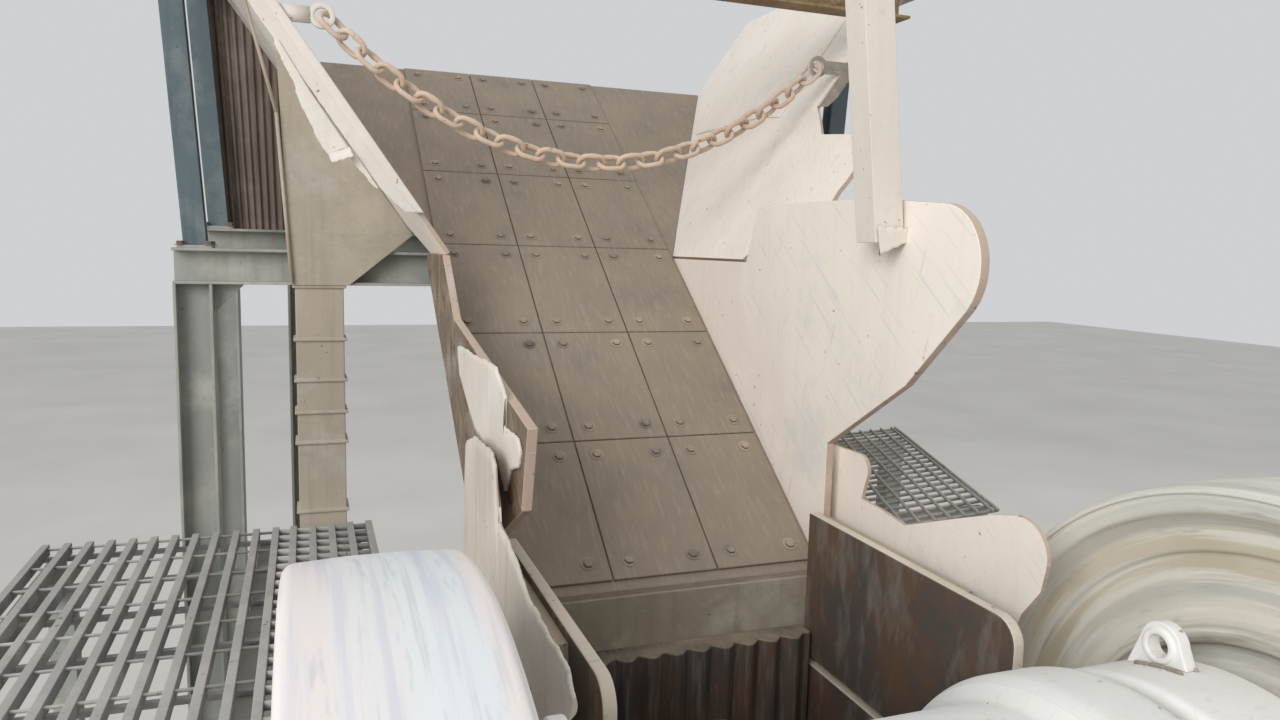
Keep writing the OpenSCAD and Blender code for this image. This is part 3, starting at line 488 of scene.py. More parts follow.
@dataclass
class TornPlate:
    """A thin plate stretched between two broken lines, ragged along them and buckled out of its plane."""

    low: list[tuple[float, float]]
    high: list[tuple[float, float]]
    face: float
    thickness: float
    normal: int = 0
    tear: float = 0.004
    tear_low: float = 0.0
    buckle: float = 0.012
    curl: float = 0.0
    seed: int = 1
    rows: int = 150
    cols: int = 20

    def shell(self) -> Shell:
        """Makes the plate's closed surface.

        Point(s, t) = low(s) (1 - t) + high(s) t, with each line moved along the plate by its tear times a
        wavy line of s. It leaves the plane by t squared times (buckle times a slower wavy line, plus curl).

        Returns:
            The shell, measured from the shaft axis along the plate's own two axes.
        """
        low, high = along(np.array(self.low), self.rows), along(np.array(self.high), self.rows)
        lean = high - low
        lean /= np.linalg.norm(lean, axis=1)[:, None]
        high = high + lean * (self.tear * wander(self.rows, self.seed, 16, 3.0))[:, None]
        low = low - lean * (self.tear_low * wander(self.rows, self.seed + 5, 16, 3.0))[:, None]
        t = np.linspace(0.0, 1.0, self.cols)
        flat = low[:, None] * (1.0 - t)[:, None] + high[:, None] * t[:, None]
        wave = 0.5 + 0.5 * wander(self.rows, self.seed + 1, 5, 1.3)
        outward = np.sign(self.thickness)
        bulge = outward * t[None] ** 2 * (self.buckle * wave[:, None] + self.curl)
        others = [axis for axis in range(3) if axis != self.normal]
        front = np.zeros((self.rows, self.cols, 3))
        front[..., others] = flat
        front[..., self.normal] = self.face + bulge
        back = front.copy()
        back[..., self.normal] += self.thickness * (1.0 - 0.4 * t**6)
        return Shell().solid(np.concatenate([front, back[:, ::-1]], axis=1) + SHAFT)


@dataclass(frozen=True)
class Easing:
    """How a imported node's hard edges are eased, and which finish its cut edges show."""

    width: float
    normal: tuple[float, float, float] | None = None
    edge_slot: str | None = None


def eased_copy(node: str, easing: Easing) -> bpy.types.Object:
    """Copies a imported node, merges its loose triangles into flat faces and bevels its hard edges.

    Args:
        node: the node's name.
        easing: the bevel's width, and how a plate's cut edges are told from its faces.

    Returns:
        The new object. Where a plate's normal is given, its cut edges take the second material slot.
    """
    form = bmesh.new()
    form.from_mesh(frame["nodes"][node].data)
    bmesh.ops.remove_doubles(form, verts=form.verts, dist=0.00002)
    bmesh.ops.dissolve_limit(form, angle_limit=0.008, verts=form.verts, edges=form.edges)
    mesh = bpy.data.meshes.new(f"{node}_eased")
    form.to_mesh(mesh)
    form.free()
    mesh.materials.clear()
    mesh.polygons.foreach_set("use_smooth", np.ones(len(mesh.polygons), bool))
    normals = np.empty(len(mesh.polygons) * 3)
    mesh.polygons.foreach_get("normal", normals)
    cut = np.zeros(len(mesh.polygons), np.int32)
    if easing.normal is not None:
        mirror = -1.0 if node.endswith("_left") else 1.0
        across = normals.reshape(-1, 3) * np.array([mirror, 1.0, 1.0])
        cut = (np.abs(across @ np.array(easing.normal)) < 0.7).astype(np.int32)
    mesh.polygons.foreach_set("material_index", cut)
    piece = bpy.data.objects.new(f"{node}_eased", mesh)
    bpy.context.scene.collection.objects.link(piece)
    finish_edges(piece, easing.width)
    return piece


# Finishes


def linear(hex_colour: str) -> tuple[float, float, float, float]:
    """Turns an sRGB hex colour into linear red, green, blue and alpha.

    Args:
        hex_colour: six hex digits after a hash.

    Returns:
        Four numbers from 0 to 1.
    """
    value = np.array([int(hex_colour[i:i + 2], 16) for i in (1, 3, 5)]) / 255.0
    low, high = value / 12.92, ((value + 0.055) / 1.055) ** 2.4
    return (*np.where(value <= 0.04045, low, high).tolist(), 1.0)


def add_node(tree: bpy.types.NodeTree, kind: str, settings: dict | None = None,
             links: dict | None = None) -> bpy.types.Node:
    """Adds one shader node with its settings and links.

    Args:
        tree: the material's node tree.
        kind: the node's Blender type.
        settings: properties by name, or input values by name or index.
        links: output sockets by the input's name or index that they feed.

    Returns:
        The node.
    """
    node = tree.nodes.new(kind)
    for key, value in (settings or {}).items():
        if isinstance(key, str) and hasattr(node, key):
            setattr(node, key, value)
        else:
            node.inputs[key].default_value = value
    for key, socket in (links or {}).items():
        tree.links.new(socket, node.inputs[key])
    return node


@dataclass
class Paintbox:
    """A material being mixed: its tree, its object coordinates and the layers so far."""

    tree: bpy.types.NodeTree
    coords: bpy.types.NodeSocket

    def noise(self, size_mm: float, detail: float = 4.0, rough: float = 0.55,
              stretch: tuple[float, float, float] = (1.0, 1.0, 1.0), seed: float = 0.0,
              source: bpy.types.NodeSocket | None = None, turn: float = 0.0) -> bpy.types.NodeSocket:
        """Noise whose features have a given real size.

        Args:
            size_mm: size of its largest features.
            detail: octaves below that.
            rough: how strong the small octaves are.
            stretch: how much longer the features are along X, Y and Z.
            seed: moves the pattern to another place.
            source: coordinates to use in place of the object's.
            turn: degrees that the stretched pattern is turned about X.

        Returns:
            The noise's value socket.
        """
        moved = add_node(self.tree, "ShaderNodeMapping",
                         {"vector_type": "TEXTURE", "Scale": stretch,
                          "Rotation": (np.radians(turn), 0.0, 0.0),
                          "Location": (seed * 3.1, seed * 1.7, seed * 2.3)},
                         {"Vector": source or self.coords})
        made = add_node(self.tree, "ShaderNodeTexNoise",
                        {"Scale": 1.0 / (size_mm * MM), "Detail": detail, "Roughness": rough},
                        {"Vector": moved.outputs[0]})
        return made.outputs[0]

    def band(self, value: bpy.types.NodeSocket, low: float, high: float, top: float = 1.0,
             bottom: float = 0.0) -> bpy.types.NodeSocket:
        """Maps the stretch from low to high onto bottom to top, held flat beyond both."""
        made = add_node(self.tree, "ShaderNodeMapRange",
                        {"From Min": low, "From Max": high, "To Min": bottom, "To Max": top},
                        {"Value": value})
        return made.outputs[0]

    def combine(self, operation: str, a: Any, b: Any) -> bpy.types.NodeSocket:
        """One sum of two values, each a socket or a number."""
        settings: dict = {"operation": operation}
        links: dict = {}
        for index, value in enumerate((a, b)):
            (links if isinstance(value, bpy.types.NodeSocket) else settings)[index] = value
        return add_node(self.tree, "ShaderNodeMath", settings, links).outputs[0]

    def blend(self, base: Any, over: Any, share: Any, mode: str = "MIX") -> bpy.types.NodeSocket:
        """Lays one colour over another.

        Args:
            base: a socket or a hex colour.
            over: a socket or a hex colour.
            share: how much of the second shows, a socket or a number.
            mode: Blender's blend mode.

        Returns:
            The mixed colour.
        """
        settings: dict = {"data_type": "RGBA", "blend_type": mode}
        links: dict = {}
        for index, value in ((0, share), (6, base), (7, over)):
            if isinstance(value, bpy.types.NodeSocket):
                links[index] = value
            else:
                settings[index] = linear(value) if isinstance(value, str) else value
        return add_node(self.tree, "ShaderNodeMix", settings, links).outputs[2]

    def facing_up(self) -> bpy.types.NodeSocket:
        """How far a surface faces up, from 0 on walls to 1 on flats."""
        normal = add_node(self.tree, "ShaderNodeNewGeometry").outputs["Normal"]
        return add_node(self.tree, "ShaderNodeSeparateXYZ", {}, {0: normal}).outputs[2]

    def shade(self, colour: bpy.types.NodeSocket, roughness: Any, height: bpy.types.NodeSocket,
              depth_mm: float, metallic: Any = 0.0) -> None:
        """Ends the material with one principled shader and its bump.

        Args:
            colour: the base colour.
            roughness: a socket or a number.
            height: the bump's height, from 0 to 1.
            depth_mm: how deep the bump is.
            metallic: a socket or a number.
        """
        bump = add_node(self.tree, "ShaderNodeBump", {"Distance": depth_mm * MM, "Strength": 1.0},
                        {"Height": height})
        settings, links = {}, {"Base Color": colour, "Normal": bump.outputs[0]}
        for key, value in (("Roughness", roughness), ("Metallic", metallic)):
            (links if isinstance(value, bpy.types.NodeSocket) else settings)[key] = value
        shader = add_node(self.tree, "ShaderNodeBsdfPrincipled", settings, links)
        add_node(self.tree, "ShaderNodeOutputMaterial", {}, {"Surface": shader.outputs[0]})


def new_paintbox(name: str) -> tuple[bpy.types.Material, Paintbox]:
    """Starts an empty material that reads object coordinates.

    Args:
        name: the material's name.

    Returns:
        The material and its paintbox.
    """
    material = bpy.data.materials.new(name)
    material.use_nodes = True
    material.node_tree.nodes.clear()
    coords = add_node(material.node_tree, "ShaderNodeTexCoord").outputs["Object"]
    return material, Paintbox(material.node_tree, coords)


@dataclass(frozen=True)
class QuarryPaint:
    """Painted mild-steel plate under stone dust: matt, blotched, streaked by rain and rusting in patches.

    The paint gives the broad colour, grime darkens it in streaks, rust breaks through in patches and the
    dust lies thickest on what faces up.
    """

    name: str
    paint: str
    grime: str
    rust: str
    dust: str
    rust_cover: float = 0.18
    dust_cover: float = 0.55
    streaks: float = 0.45
    patch_mm: float = 170.0
    roughness: float = 0.82
    depth_mm: float = 1.2
    scratches: float = 0.35
    scuff: str = "#cdcfcd"
    scuffs: float = 0.25
    buckle_mm: float = 9.0

    def build(self) -> bpy.types.Material:
        """Mixes the layers and returns the material."""
        material, box = new_paintbox(self.name)
        broad = box.noise(900.0, 3.0, 0.5, seed=1.0)
        patches = box.noise(self.patch_mm, 9.0, 0.62, seed=2.0)
        # Rain marks are long and thin, and run down the plate
        rain = box.noise(45.0, 6.0, 0.6, (1.0, 1.0, 16.0), seed=3.0)
        # Dust grains are under 1 mm, drawn at 9 mm so that they show
        grains = box.noise(9.0, 3.0, 0.7, seed=4.0)
        # Stones scratch the plate along their slide, and less often across it
        slides = box.noise(6.0, 3.0, 0.6, (6.0, 46.0, 1.5), seed=5.0, turn=38.0)
        knocks = box.noise(8.0, 2.0, 0.5, (9.0, 2.0, 22.0), seed=15.0, turn=14.0)
        buckles = box.noise(560.0, 2.0, 0.4, seed=16.0)
        colour = box.blend(self.paint, self.grime, box.band(broad, 0.38, 0.68, 0.45))
        colour = box.blend(colour, self.dust,
                           box.band(box.noise(260.0, 8.0, 0.66, seed=17.0), 0.50, 0.64, 0.55))
        colour = box.blend(colour, self.scuff,
                           box.band(box.noise(340.0, 9.0, 0.7, seed=18.0), 0.55, 0.66, self.scuffs))
        colour = box.blend(colour, self.grime, box.band(rain, 0.52, 0.72, self.streaks))
        edge = 0.5 + (0.5 - self.rust_cover) * 0.55
        rust_share = box.band(patches, edge, edge + 0.05)
        rust_tone = box.blend(self.rust, self.grime, box.band(grains, 0.4, 0.7, 0.6))
        colour = box.blend(colour, rust_tone, rust_share)
        up = box.band(box.facing_up(), 0.05, 0.85)
        dusty = box.band(box.noise(320.0, 8.0, 0.6, seed=6.0), 0.36, 0.62)
        cover = box.combine("MULTIPLY", box.band(up, 0.0, 1.0, 1.0, 0.35), dusty)
        cover = box.combine("MULTIPLY", cover, self.dust_cover)
        cover = box.combine("MAXIMUM", cover, box.combine("MULTIPLY", up, self.dust_cover * 0.75))
        colour = box.blend(colour, self.dust, cover)
        colour = box.blend(colour, self.scuff, box.band(slides, 0.60, 0.70, self.scratches))
        colour = box.blend(colour, self.grime, box.band(knocks, 0.66, 0.74, self.scratches))
        colour = box.blend(colour, self.grime, box.band(grains, 0.58, 0.78, 0.30))
        # Chips of 20 mm and less where stones have struck
        chips = box.band(box.noise(26.0, 4.0, 0.6, seed=19.0), 0.69, 0.72)
        colour = box.blend(colour, self.rust, chips)
        fine = box.combine("ADD", box.combine("MULTIPLY", patches, 0.7),
                           box.combine("MULTIPLY", grains, 0.35))
        fine = box.combine("SUBTRACT", box.combine("MULTIPLY", fine, self.depth_mm), chips)
        height = box.combine("ADD", fine, box.combine("MULTIPLY", buckles, self.buckle_mm))
        box.shade(colour, box.band(rust_share, 0.0, 1.0, 0.95, self.roughness), height, 1.0)
        return material


@dataclass(frozen=True)
class TurnedRim:
    """Painted cast iron that turns all day: rubbed and dusted into rings about its shaft.

    Four tones lie in bands across the rim and in arcs on the web, and each zone of radius is laid in a flat
    tone of its own.
    """

    name: str
    tones: tuple[str, str, str, str]
    dust: str
    ring_mm: float = 34.0
    patches: float = 0.35
    roughness: float = 0.55
    depth_mm: float = 0.5
    zones: tuple[tuple[float, float, str], ...] = ()

    def build(self) -> bpy.types.Material:
        """Mixes the rings and returns the material."""
        material, box = new_paintbox(self.name)
        centred = add_node(box.tree, "ShaderNodeMapping",
                           {"Location": (0.0, -float(SHAFT[1]), -float(SHAFT[2]))}, {"Vector": box.coords})
        parts = add_node(box.tree, "ShaderNodeSeparateXYZ", {}, {0: centred.outputs[0]})
        flat = add_node(box.tree, "ShaderNodeCombineXYZ", {}, {1: parts.outputs[1], 2: parts.outputs[2]})
        radius = add_node(box.tree, "ShaderNodeVectorMath", {"operation": "LENGTH"},
                          {0: flat.outputs[0]}).outputs["Value"]
        # The angle is 0 at the top, so the pattern's seam lies underneath
        angle = box.combine("ARCTAN2", parts.outputs[1], parts.outputs[2])
        slow = add_node(box.tree, "ShaderNodeCombineXYZ", {},
                        {0: parts.outputs[0], 1: radius, 2: box.combine("MULTIPLY", angle, 0.03)}).outputs[0]
        quick = add_node(box.tree, "ShaderNodeCombineXYZ", {},
                         {0: parts.outputs[0], 1: radius, 2: box.combine("MULTIPLY", angle, 0.11)}).outputs[0]
        broad = box.noise(self.ring_mm * 3.0, 2.0, 0.5, source=slow, seed=7.0)
        fine = box.noise(self.ring_mm, 4.0, 0.6, source=slow, seed=8.0)
        arcs = box.noise(self.ring_mm * 0.6, 3.0, 0.6, source=quick, seed=20.0)
        blot = box.noise(260.0, 7.0, 0.6, seed=9.0)
        grains = box.noise(7.0, 2.0, 0.6, seed=10.0)
        colour = box.blend(self.tones[0], self.tones[1], box.band(broad, 0.42, 0.58))
        for inner, outer, tone in self.zones:
            soft = 0.010
            share = box.combine("MULTIPLY", box.band(radius, inner - soft, inner + soft),
                                box.band(radius, outer - soft, outer + soft, 0.0, 0.8))
            colour = box.blend(colour, tone, share)
        colour = box.blend(colour, self.tones[2], box.band(fine, 0.50, 0.60, 0.75))
        colour = box.blend(colour, self.tones[3], box.band(fine, 0.40, 0.32, 0.60))
        colour = box.blend(colour, self.tones[3], box.band(arcs, 0.60, 0.72, 0.55))
        colour = box.blend(colour, self.dust, box.band(blot, 0.42, 0.66, self.patches))
        colour = box.blend(colour, self.tones[3], box.band(grains, 0.60, 0.78, 0.22))
        height = box.combine("ADD", box.combine("MULTIPLY", fine, 0.6), box.combine("MULTIPLY", grains, 0.3))
        box.shade(colour, box.band(blot, 0.3, 0.7, 0.85, self.roughness), height, self.depth_mm)
        return material


@dataclass(frozen=True)
class WornCasting:
    """Bare manganese-steel or iron casting: dark, pitted by the mould and scored bright along its wear."""

    name: str
    iron: str
    bright: str
    rust: str
    dust: str
    wear: float = 0.5
    metallic: float = 0.55
    depth_mm: float = 2.2

    def build(self) -> bpy.types.Material:
        """Mixes the layers and returns the material."""
        material, box = new_paintbox(self.name)
        pits = box.noise(24.0, 6.0, 0.65, seed=11.0)
        score = box.noise(12.0, 5.0, 0.6, (1.0, 6.0, 16.0), seed=12.0)
        patches = box.noise(210.0, 7.0, 0.6, seed=13.0)
        colour = box.blend(self.iron, self.rust, box.band(patches, 0.42, 0.62, 0.8))
        bright = box.band(score, 0.50, 0.72, self.wear)
        colour = box.blend(colour, self.bright, bright)
        up = box.band(box.facing_up(), 0.15, 0.9, 0.7)
        colour = box.blend(colour, self.dust, box.combine("MULTIPLY", up, box.band(patches, 0.3, 0.6)))
        height = box.combine("ADD", box.combine("MULTIPLY", pits, 0.6), box.combine("MULTIPLY", score, 0.4))
        box.shade(colour, box.band(bright, 0.0, 1.0, 0.42, 0.8), height, self.depth_mm,
                  box.band(bright, 0.0, 1.0, self.metallic, self.metallic * 0.25))
        return material


DUST = "#cdbfa9"
FINISHES: dict[str, QuarryPaint | TurnedRim | WornCasting] = {
    "frame_paint": QuarryPaint("dusty_frame_paint", "#a19683", "#766a5a", "#6f5138", DUST, rust_cover=0.14,
                               scratches=0.1),
    "foot_steel": QuarryPaint("dusty_foot_plate", "#8f8371", "#62574a", "#6b4a30", DUST, rust_cover=0.3,
                              dust_cover=0.75, scratches=0.0),
    "manganese_steel": WornCasting("worn_manganese_steel", "#57504a", "#a9a49b", "#6f5440", "#b5a892"),
    "housing_paint": QuarryPaint("pinkish_housing_paint", "#f0eeeb", "#d5d1cb", "#b3a498", "#f0eeea",
                                 rust_cover=0.04, dust_cover=0.6, streaks=0.2, patch_mm=260.0, scuffs=0.35,
                                 buckle_mm=5.0),
    "toggle_iron": WornCasting("dusty_toggle_iron", "#5c5248", "#8d857a", "#6d5138", DUST, wear=0.25,
                               metallic=0.35),
    "pitman_paint": QuarryPaint("pale_pitman_paint", "#e4e6e4", "#c8c5bf", "#a58f78", "#e8e6e0",
                                rust_cover=0.03, dust_cover=0.55, streaks=0.25, patch_mm=300.0, scuffs=0.45,
                                buckle_mm=5.0),
    "wheel_paint_left": TurnedRim("pale_rubbed_wheel", ("#dbe0e1", "#e2dad6", "#ccccd6", "#bbbec1"),
                                  "#e1dfdb", ring_mm=30.0, patches=0.25, roughness=0.6),
    "wheel_paint_right": TurnedRim("dusted_wheel", ("#cecbc0", "#b9b7ad", "#dedcd4", "#9d9b91"), "#d3cfc3",
                                   ring_mm=40.0, patches=0.4, roughness=0.75,
                                   zones=((0.735, 0.790, "#d8d7cd"), (0.600, 0.705, "#bdb298"),
                                          (0.505, 0.540, "#dad4c4"), (0.455, 0.490, "#847f70"),
                                          (0.225, 0.300, "#cfcabd"))),
    "shaft_steel": TurnedRim("turned_shaft_steel", ("#8d8b87", "#7a7875", "#a5a29c", "#5e5b57"), "#a89c89",
                             ring_mm=8.0, patches=0.4, roughness=0.4),
    "skirt_brown": QuarryPaint("torn_brown_skirt", "#d3c8b9", "#a69b8f", "#9a8674", "#ddd5c9",
                               rust_cover=0.14, dust_cover=0.45, streaks=0.5, patch_mm=120.0, scratches=0.5,
                               buckle_mm=14.0),
    "chute_cream": QuarryPaint("cream_chute_plate", "#f3eade", "#d6cabc", "#ae9881", "#f4ece1",
                               rust_cover=0.04, dust_cover=0.45, streaks=0.25, patch_mm=240.0, scratches=0.55,
                               scuff="#d0d3d3", scuffs=0.5),
    "chute_brown": QuarryPaint("rusty_chute_plate", "#7b6956", "#4f4134", "#674a33", "#ab9b85",
                               rust_cover=0.35, dust_cover=0.3, streaks=0.5, patch_mm=130.0),
    "floor_steel": WornCasting("scoured_floor_plate", "#8b8073", "#b4aca0", "#7d6a58", "#a99c89", wear=0.45,
                               metallic=0.35, depth_mm=0.8),
    "flange_cream": QuarryPaint("torn_cream_band", "#dfd6cc", "#bfb3a5", "#967e63", "#e6dfd5",
                                rust_cover=0.07, dust_cover=0.5, streaks=0.25, patch_mm=110.0, scuffs=0.35,
                                buckle_mm=6.0),
    "angle_grey": QuarryPaint("dusty_grey_angle", "#8d857a", "#5e574e", "#6c523c", "#b9ad9b", rust_cover=0.15,
                              dust_cover=0.4),
    "beam_rust": QuarryPaint("rusty_tie_beam", "#806a48", "#503f2b", "#875f31", "#ab956f", rust_cover=0.4,
                             dust_cover=0.3, streaks=0.4, patch_mm=90.0),
    "chain_rust": QuarryPaint("dusty_chain_rust", "#cdb49f", "#8f735b", "#98694a", "#dfcdba", rust_cover=0.25,
                              dust_cover=0.6, streaks=0.0, patch_mm=26.0, roughness=0.85, depth_mm=0.8,
                              scratches=0.0, buckle_mm=0.0),
    "support_paint": QuarryPaint("grey_green_support", "#9b9e98", "#72756f", "#7c6753", "#bdb7ab",
                                 rust_cover=0.12, dust_cover=0.5, scratches=0.0),
    "pier_paint": QuarryPaint("beige_pier", "#b5aa99", "#8a8071", "#857359", "#c9c0b0", rust_cover=0.10,
                              dust_cover=0.55, scratches=0.0),
    "gusset_paint": QuarryPaint("grey_beige_gusset", "#b0a695", "#888378", "#786c5a", "#c0b6a3",
                                rust_cover=0.08, dust_cover=0.45, streaks=0.35, scratches=0.2),
    "post_blue": QuarryPaint("blue_grey_post", "#5d6d73", "#454f53", "#665a50", "#848c8b", rust_cover=0.06,
                             dust_cover=0.2, streaks=0.5, scratches=0.0, scuffs=0.08),
    "sheet_rust": QuarryPaint("rust_streaked_sheet", "#82756c", "#544a43", "#86695a", "#a0948a",
                              rust_cover=0.2, dust_cover=0.2, streaks=1.0, scratches=0.0, scuffs=0.1,
                              buckle_mm=4.0),
    "grating_steel": QuarryPaint("dusty_grating", "#8f9091", "#595857", "#6f6053", "#bbb6af", rust_cover=0.2,
                                 dust_cover=0.8, streaks=0.2, patch_mm=60.0, scratches=0.0, buckle_mm=3.0),
    "mesh_steel": QuarryPaint("dusty_rod_mesh", "#8f8b86", "#65605b", "#75624f", "#aaa49b", rust_cover=0.15,
                              dust_cover=0.6, streaks=0.1, patch_mm=50.0, buckle_mm=0.0),
    "rod_steel": WornCasting("dusty_rod_steel", "#6b645c", "#a29b90", "#74553b", DUST, wear=0.4, metallic=0.5,
                             depth_mm=0.5),
    "spring_steel": WornCasting("dark_spring_steel", "#35302c", "#6b645b", "#5c4230", DUST, wear=0.2,
                                metallic=0.4, depth_mm=0.5),
}
EDGES: dict[str, QuarryPaint] = {
    "worn_edge": QuarryPaint("worn_bright_plate_edge", "#d3c8b6", "#a39580", "#8a6d50", "#ddd3c3",
                             rust_cover=0.15, dust_cover=0.5, streaks=0.1, patch_mm=60.0, buckle_mm=1.0),
    "chipped_edge": QuarryPaint("chipped_pinkish_plate_edge", "#bda694", "#94796a", "#7f6353", "#d2bfae",
                                rust_cover=0.25, dust_cover=0.4, streaks=0.1, patch_mm=40.0, depth_mm=2.5,
                                buckle_mm=1.0),
}


@dataclass
class Finisher:
    """Makes each finish once and lays it on CAD nodes and on new pieces."""

    made: dict[str, bpy.types.Material] = field(default_factory=dict)

    def material(self, slot: str) -> bpy.types.Material:
        """The material of one of the record's slots, or of a plate's cut edge."""
        if slot not in self.made:
            self.made[slot] = (FINISHES | EDGES)[slot].build()
        return self.made[slot]

    def dress_nodes(self) -> None:
        """Puts each CAD node's finish in place of its plain colour."""
        for part in frame["record"]["subparts"]:
            node = frame["nodes"][part["node"]]
            node.data.materials.clear()
            node.data.materials.append(self.material(part["material_slot"]))

    def place(self, piece: bpy.types.Object, body: Body, slot: str, *stands_for: str) -> bpy.types.Object:
        """Finishes a new piece and lets it ride on its body.

        Args:
            piece: the mesh object.
            body: the body that it moves with.
            slot: the record's material slot.
            stands_for: CAD nodes that it takes the place of.

        Returns:
            The piece.
        """
        piece.data.materials.append(self.material(slot))
        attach(piece, body.value)
        if stands_for:
            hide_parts(*stands_for)
        log.info("%s: %d faces on %s", piece.name, len(piece.data.polygons), body.value)
        return piece


BLUNT, PLATE, THIN = 0.006, 0.003, 0.002
ALONG_X, ALONG_Y = (1.0, 0.0, 0.0), (0.0, 1.0, 0.0)
ACROSS_FLARE = (float(np.cos(FLARE)), 0.0, float(-np.sin(FLARE)))
ACROSS_FLOOR = (0.0, float(-np.sin(FLOOR_SLOPE)), float(np.cos(FLOOR_SLOPE)))
EASED: dict[str, Easing] = {
    "foot_rails": Easing(PLATE, (0.0, 0.0, 1.0), "worn_edge"),
    "side_wall_left": Easing(PLATE),
    "side_wall_right": Easing(PLATE),
    "front_wall": Easing(PLATE),
    "rear_wall": Easing(PLATE),
    "fixed_jaw_plate": Easing(BLUNT),
    "swing_jaw_plate": Easing(BLUNT),
    "cheek_plates": Easing(0.005, ALONG_X, "worn_edge"),
    "bearing_bases": Easing(0.008),
    "lifting_lugs": Easing(0.004),
    "toggle_seat": Easing(BLUNT),
    "toggle_shims": Easing(THIN),
    "toggle_plate": Easing(0.004),
    "skirt_right": Easing(THIN, ALONG_X, "chipped_edge"),
    "chute_side_left": Easing(PLATE, ALONG_X, "chipped_edge"),
    "chute_side_right": Easing(PLATE, ALONG_X, "chipped_edge"),
    "chute_floor": Easing(THIN, ACROSS_FLOOR, "worn_edge"),
    "hopper_wall_left": Easing(THIN, ACROSS_FLARE, "chipped_edge"),
    "hopper_wall_right": Easing(THIN, ACROSS_FLARE, "chipped_edge"),
    "mouth_flange_right": Easing(THIN, ALONG_Y, "worn_edge"),
    "tie_beam": Easing(THIN),
    "guard_post": Easing(THIN),
    "cross_beams": Easing(THIN),
    "support_legs": Easing(THIN),
    "piers": Easing(0.004),
    "floor_props": Easing(THIN),
    "gussets": Easing(THIN, ALONG_Y, "worn_edge"),
    "blue_posts": Easing(THIN),
    "rim_beams": Easing(PLATE),
    "grating_left": Easing(0.0025),
    "walkway_beams": Easing(PLATE),
    "walkway_legs": Easing(PLATE),
    "pitman": Easing(0.005),
    "tension_rods": Easing(0.0015),
}


@dataclass
class EasedNodes:
    """The CAD's castings, plates and sections with eased edges and worn cut faces."""

    def build(self, finisher: Finisher) -> None:
        """Stands an eased copy in the place of each node in the table."""
        slots = {part["node"]: part["material_slot"] for part in frame["record"]["subparts"]}
        bodies = frame["record"]["behaviour"]["bodies"]
        body_of = {node: Body(body) for body, nodes in bodies.items() for node in nodes}
        for node, easing in EASED.items():
            piece = finisher.place(eased_copy(node, easing), body_of[node], slots[node], node)
            if easing.edge_slot is not None:
                piece.data.materials.append(finisher.material(easing.edge_slot))


# Rotor


@dataclass
class Flywheels:
    """Two cast flywheels with crowned rims, dished webs and stepped hubs."""

    rim_thickness: float = 0.062
    web_thickness: float = 0.096
    hub_radius: float = 0.230
    bore_radius: float = 0.110
    ring_radius: float = 0.480
    lip: float = 0.022
    groove: float = 0.006
    crown: float = 0.004
    segments: int = 192

    def profile(self, width: float, radius: float) -> Array:
        """The wheel's section: hub, web, raised ring, dish, rim lip and crowned rim, alike on both sides.

        Args:
            width: of the rim.
            radius: of the rim.

        Returns:
            Rows of x from the inner face outwards, and radius.
        """
        rim, web = radius - self.rim_thickness, (width - self.web_thickness) / 2.0
        hub, ring, edge = self.hub_radius, self.ring_radius, 0.010
        inner_hub = [(0.030, self.bore_radius), (0.030, hub - 0.070), (0.042, hub - 0.060), (0.046, hub)]
        outer_hub = [(width - 0.020, hub), (width - 0.008, hub - 0.010), (width - 0.008, self.bore_radius)]
        side = [(web - 0.006, hub + 0.012), (web, ring - 0.020), (web - 0.024, ring - 0.014),
                (web - 0.024, ring + 0.012), (web, ring + 0.020), (web, rim - 0.090),
                (web - 0.014, rim - 0.084),
                (web - 0.018, rim - 0.030), (web - 0.045, rim - 0.008), (0.022, rim),
                (0.005, radius - self.lip - self.groove), (0.009, radius - self.lip - self.groove),
                (0.009, radius - self.lip), (0.0, radius - self.lip), (0.0, radius - self.crown - edge),
                (edge, radius - self.crown), (width * 0.35, radius)]
        far_side = [(width - x, r) for x, r in reversed(side)]
        return rounded(np.array(inner_hub + side + far_side + outer_hub), 0.007, 4)

    def build(self, finisher: Finisher) -> None:
        """Makes both wheels in the place of their CAD nodes."""
        for side in Side:
            node = f"flywheel_{side.name.lower()}"
            low, high = node_box(node)
            width, radius = high[0] - low[0], (high[2] - low[2]) / 2.0
            profile = self.profile(width, radius)
            inner = low[0] if side is Side.RIGHT else high[0]
            profile[:, 0] = inner + side.value * profile[:, 0]
            shell = Shell().loop(turned(profile, SHAFT[1:], self.segments))
            piece = shell.build(f"{node}_casting")
            piece.modifiers.new("even_shading", "WEIGHTED_NORMAL")
            finisher.place(piece, Body.ROTOR, f"wheel_paint_{side.name.lower()}", node)


@dataclass
class ShaftEnds:
    """End plates and their bolts on the eccentric shaft."""

    plate_radius: float = 0.155
    plate_thickness: float = 0.018
    hole_radius: float = 0.112
    hub_recess: float = 0.008
    bolts: int = 6
    bolt_circle: float = 0.125

    def build(self, finisher: Finisher) -> None:
        """Makes an end plate with its ring of bolts at each end of the shaft."""
        ring = SHAFT[1:] + self.bolt_circle * circle(self.bolts)
        bolt = hex_bolt(0.030, 0.014)
        hole, rim = self.hole_radius, self.plate_radius
        for side in Side:
            wheel = node_box(f"flywheel_{side.name.lower()}")
            face = wheel[1, 0] - self.hub_recess if side is Side.RIGHT else wheel[0, 0] + self.hub_recess
            outer = face + side.value * self.plate_thickness
            profile = np.array([(face, hole), (face, rim), (outer, rim), (outer, hole)])
            shell = Shell().loop(turned(rounded(profile, 0.003, 3), SHAFT[1:], 64))
            origins = np.column_stack([np.full(self.bolts, outer), ring])
            shell.stamp(bolt, origins, side.turn)
            piece = shell.build(f"shaft_end_plate_{side.name.lower()}", smooth=False)
            finisher.place(piece, Body.ROTOR, "shaft_steel")


# Swing jaw


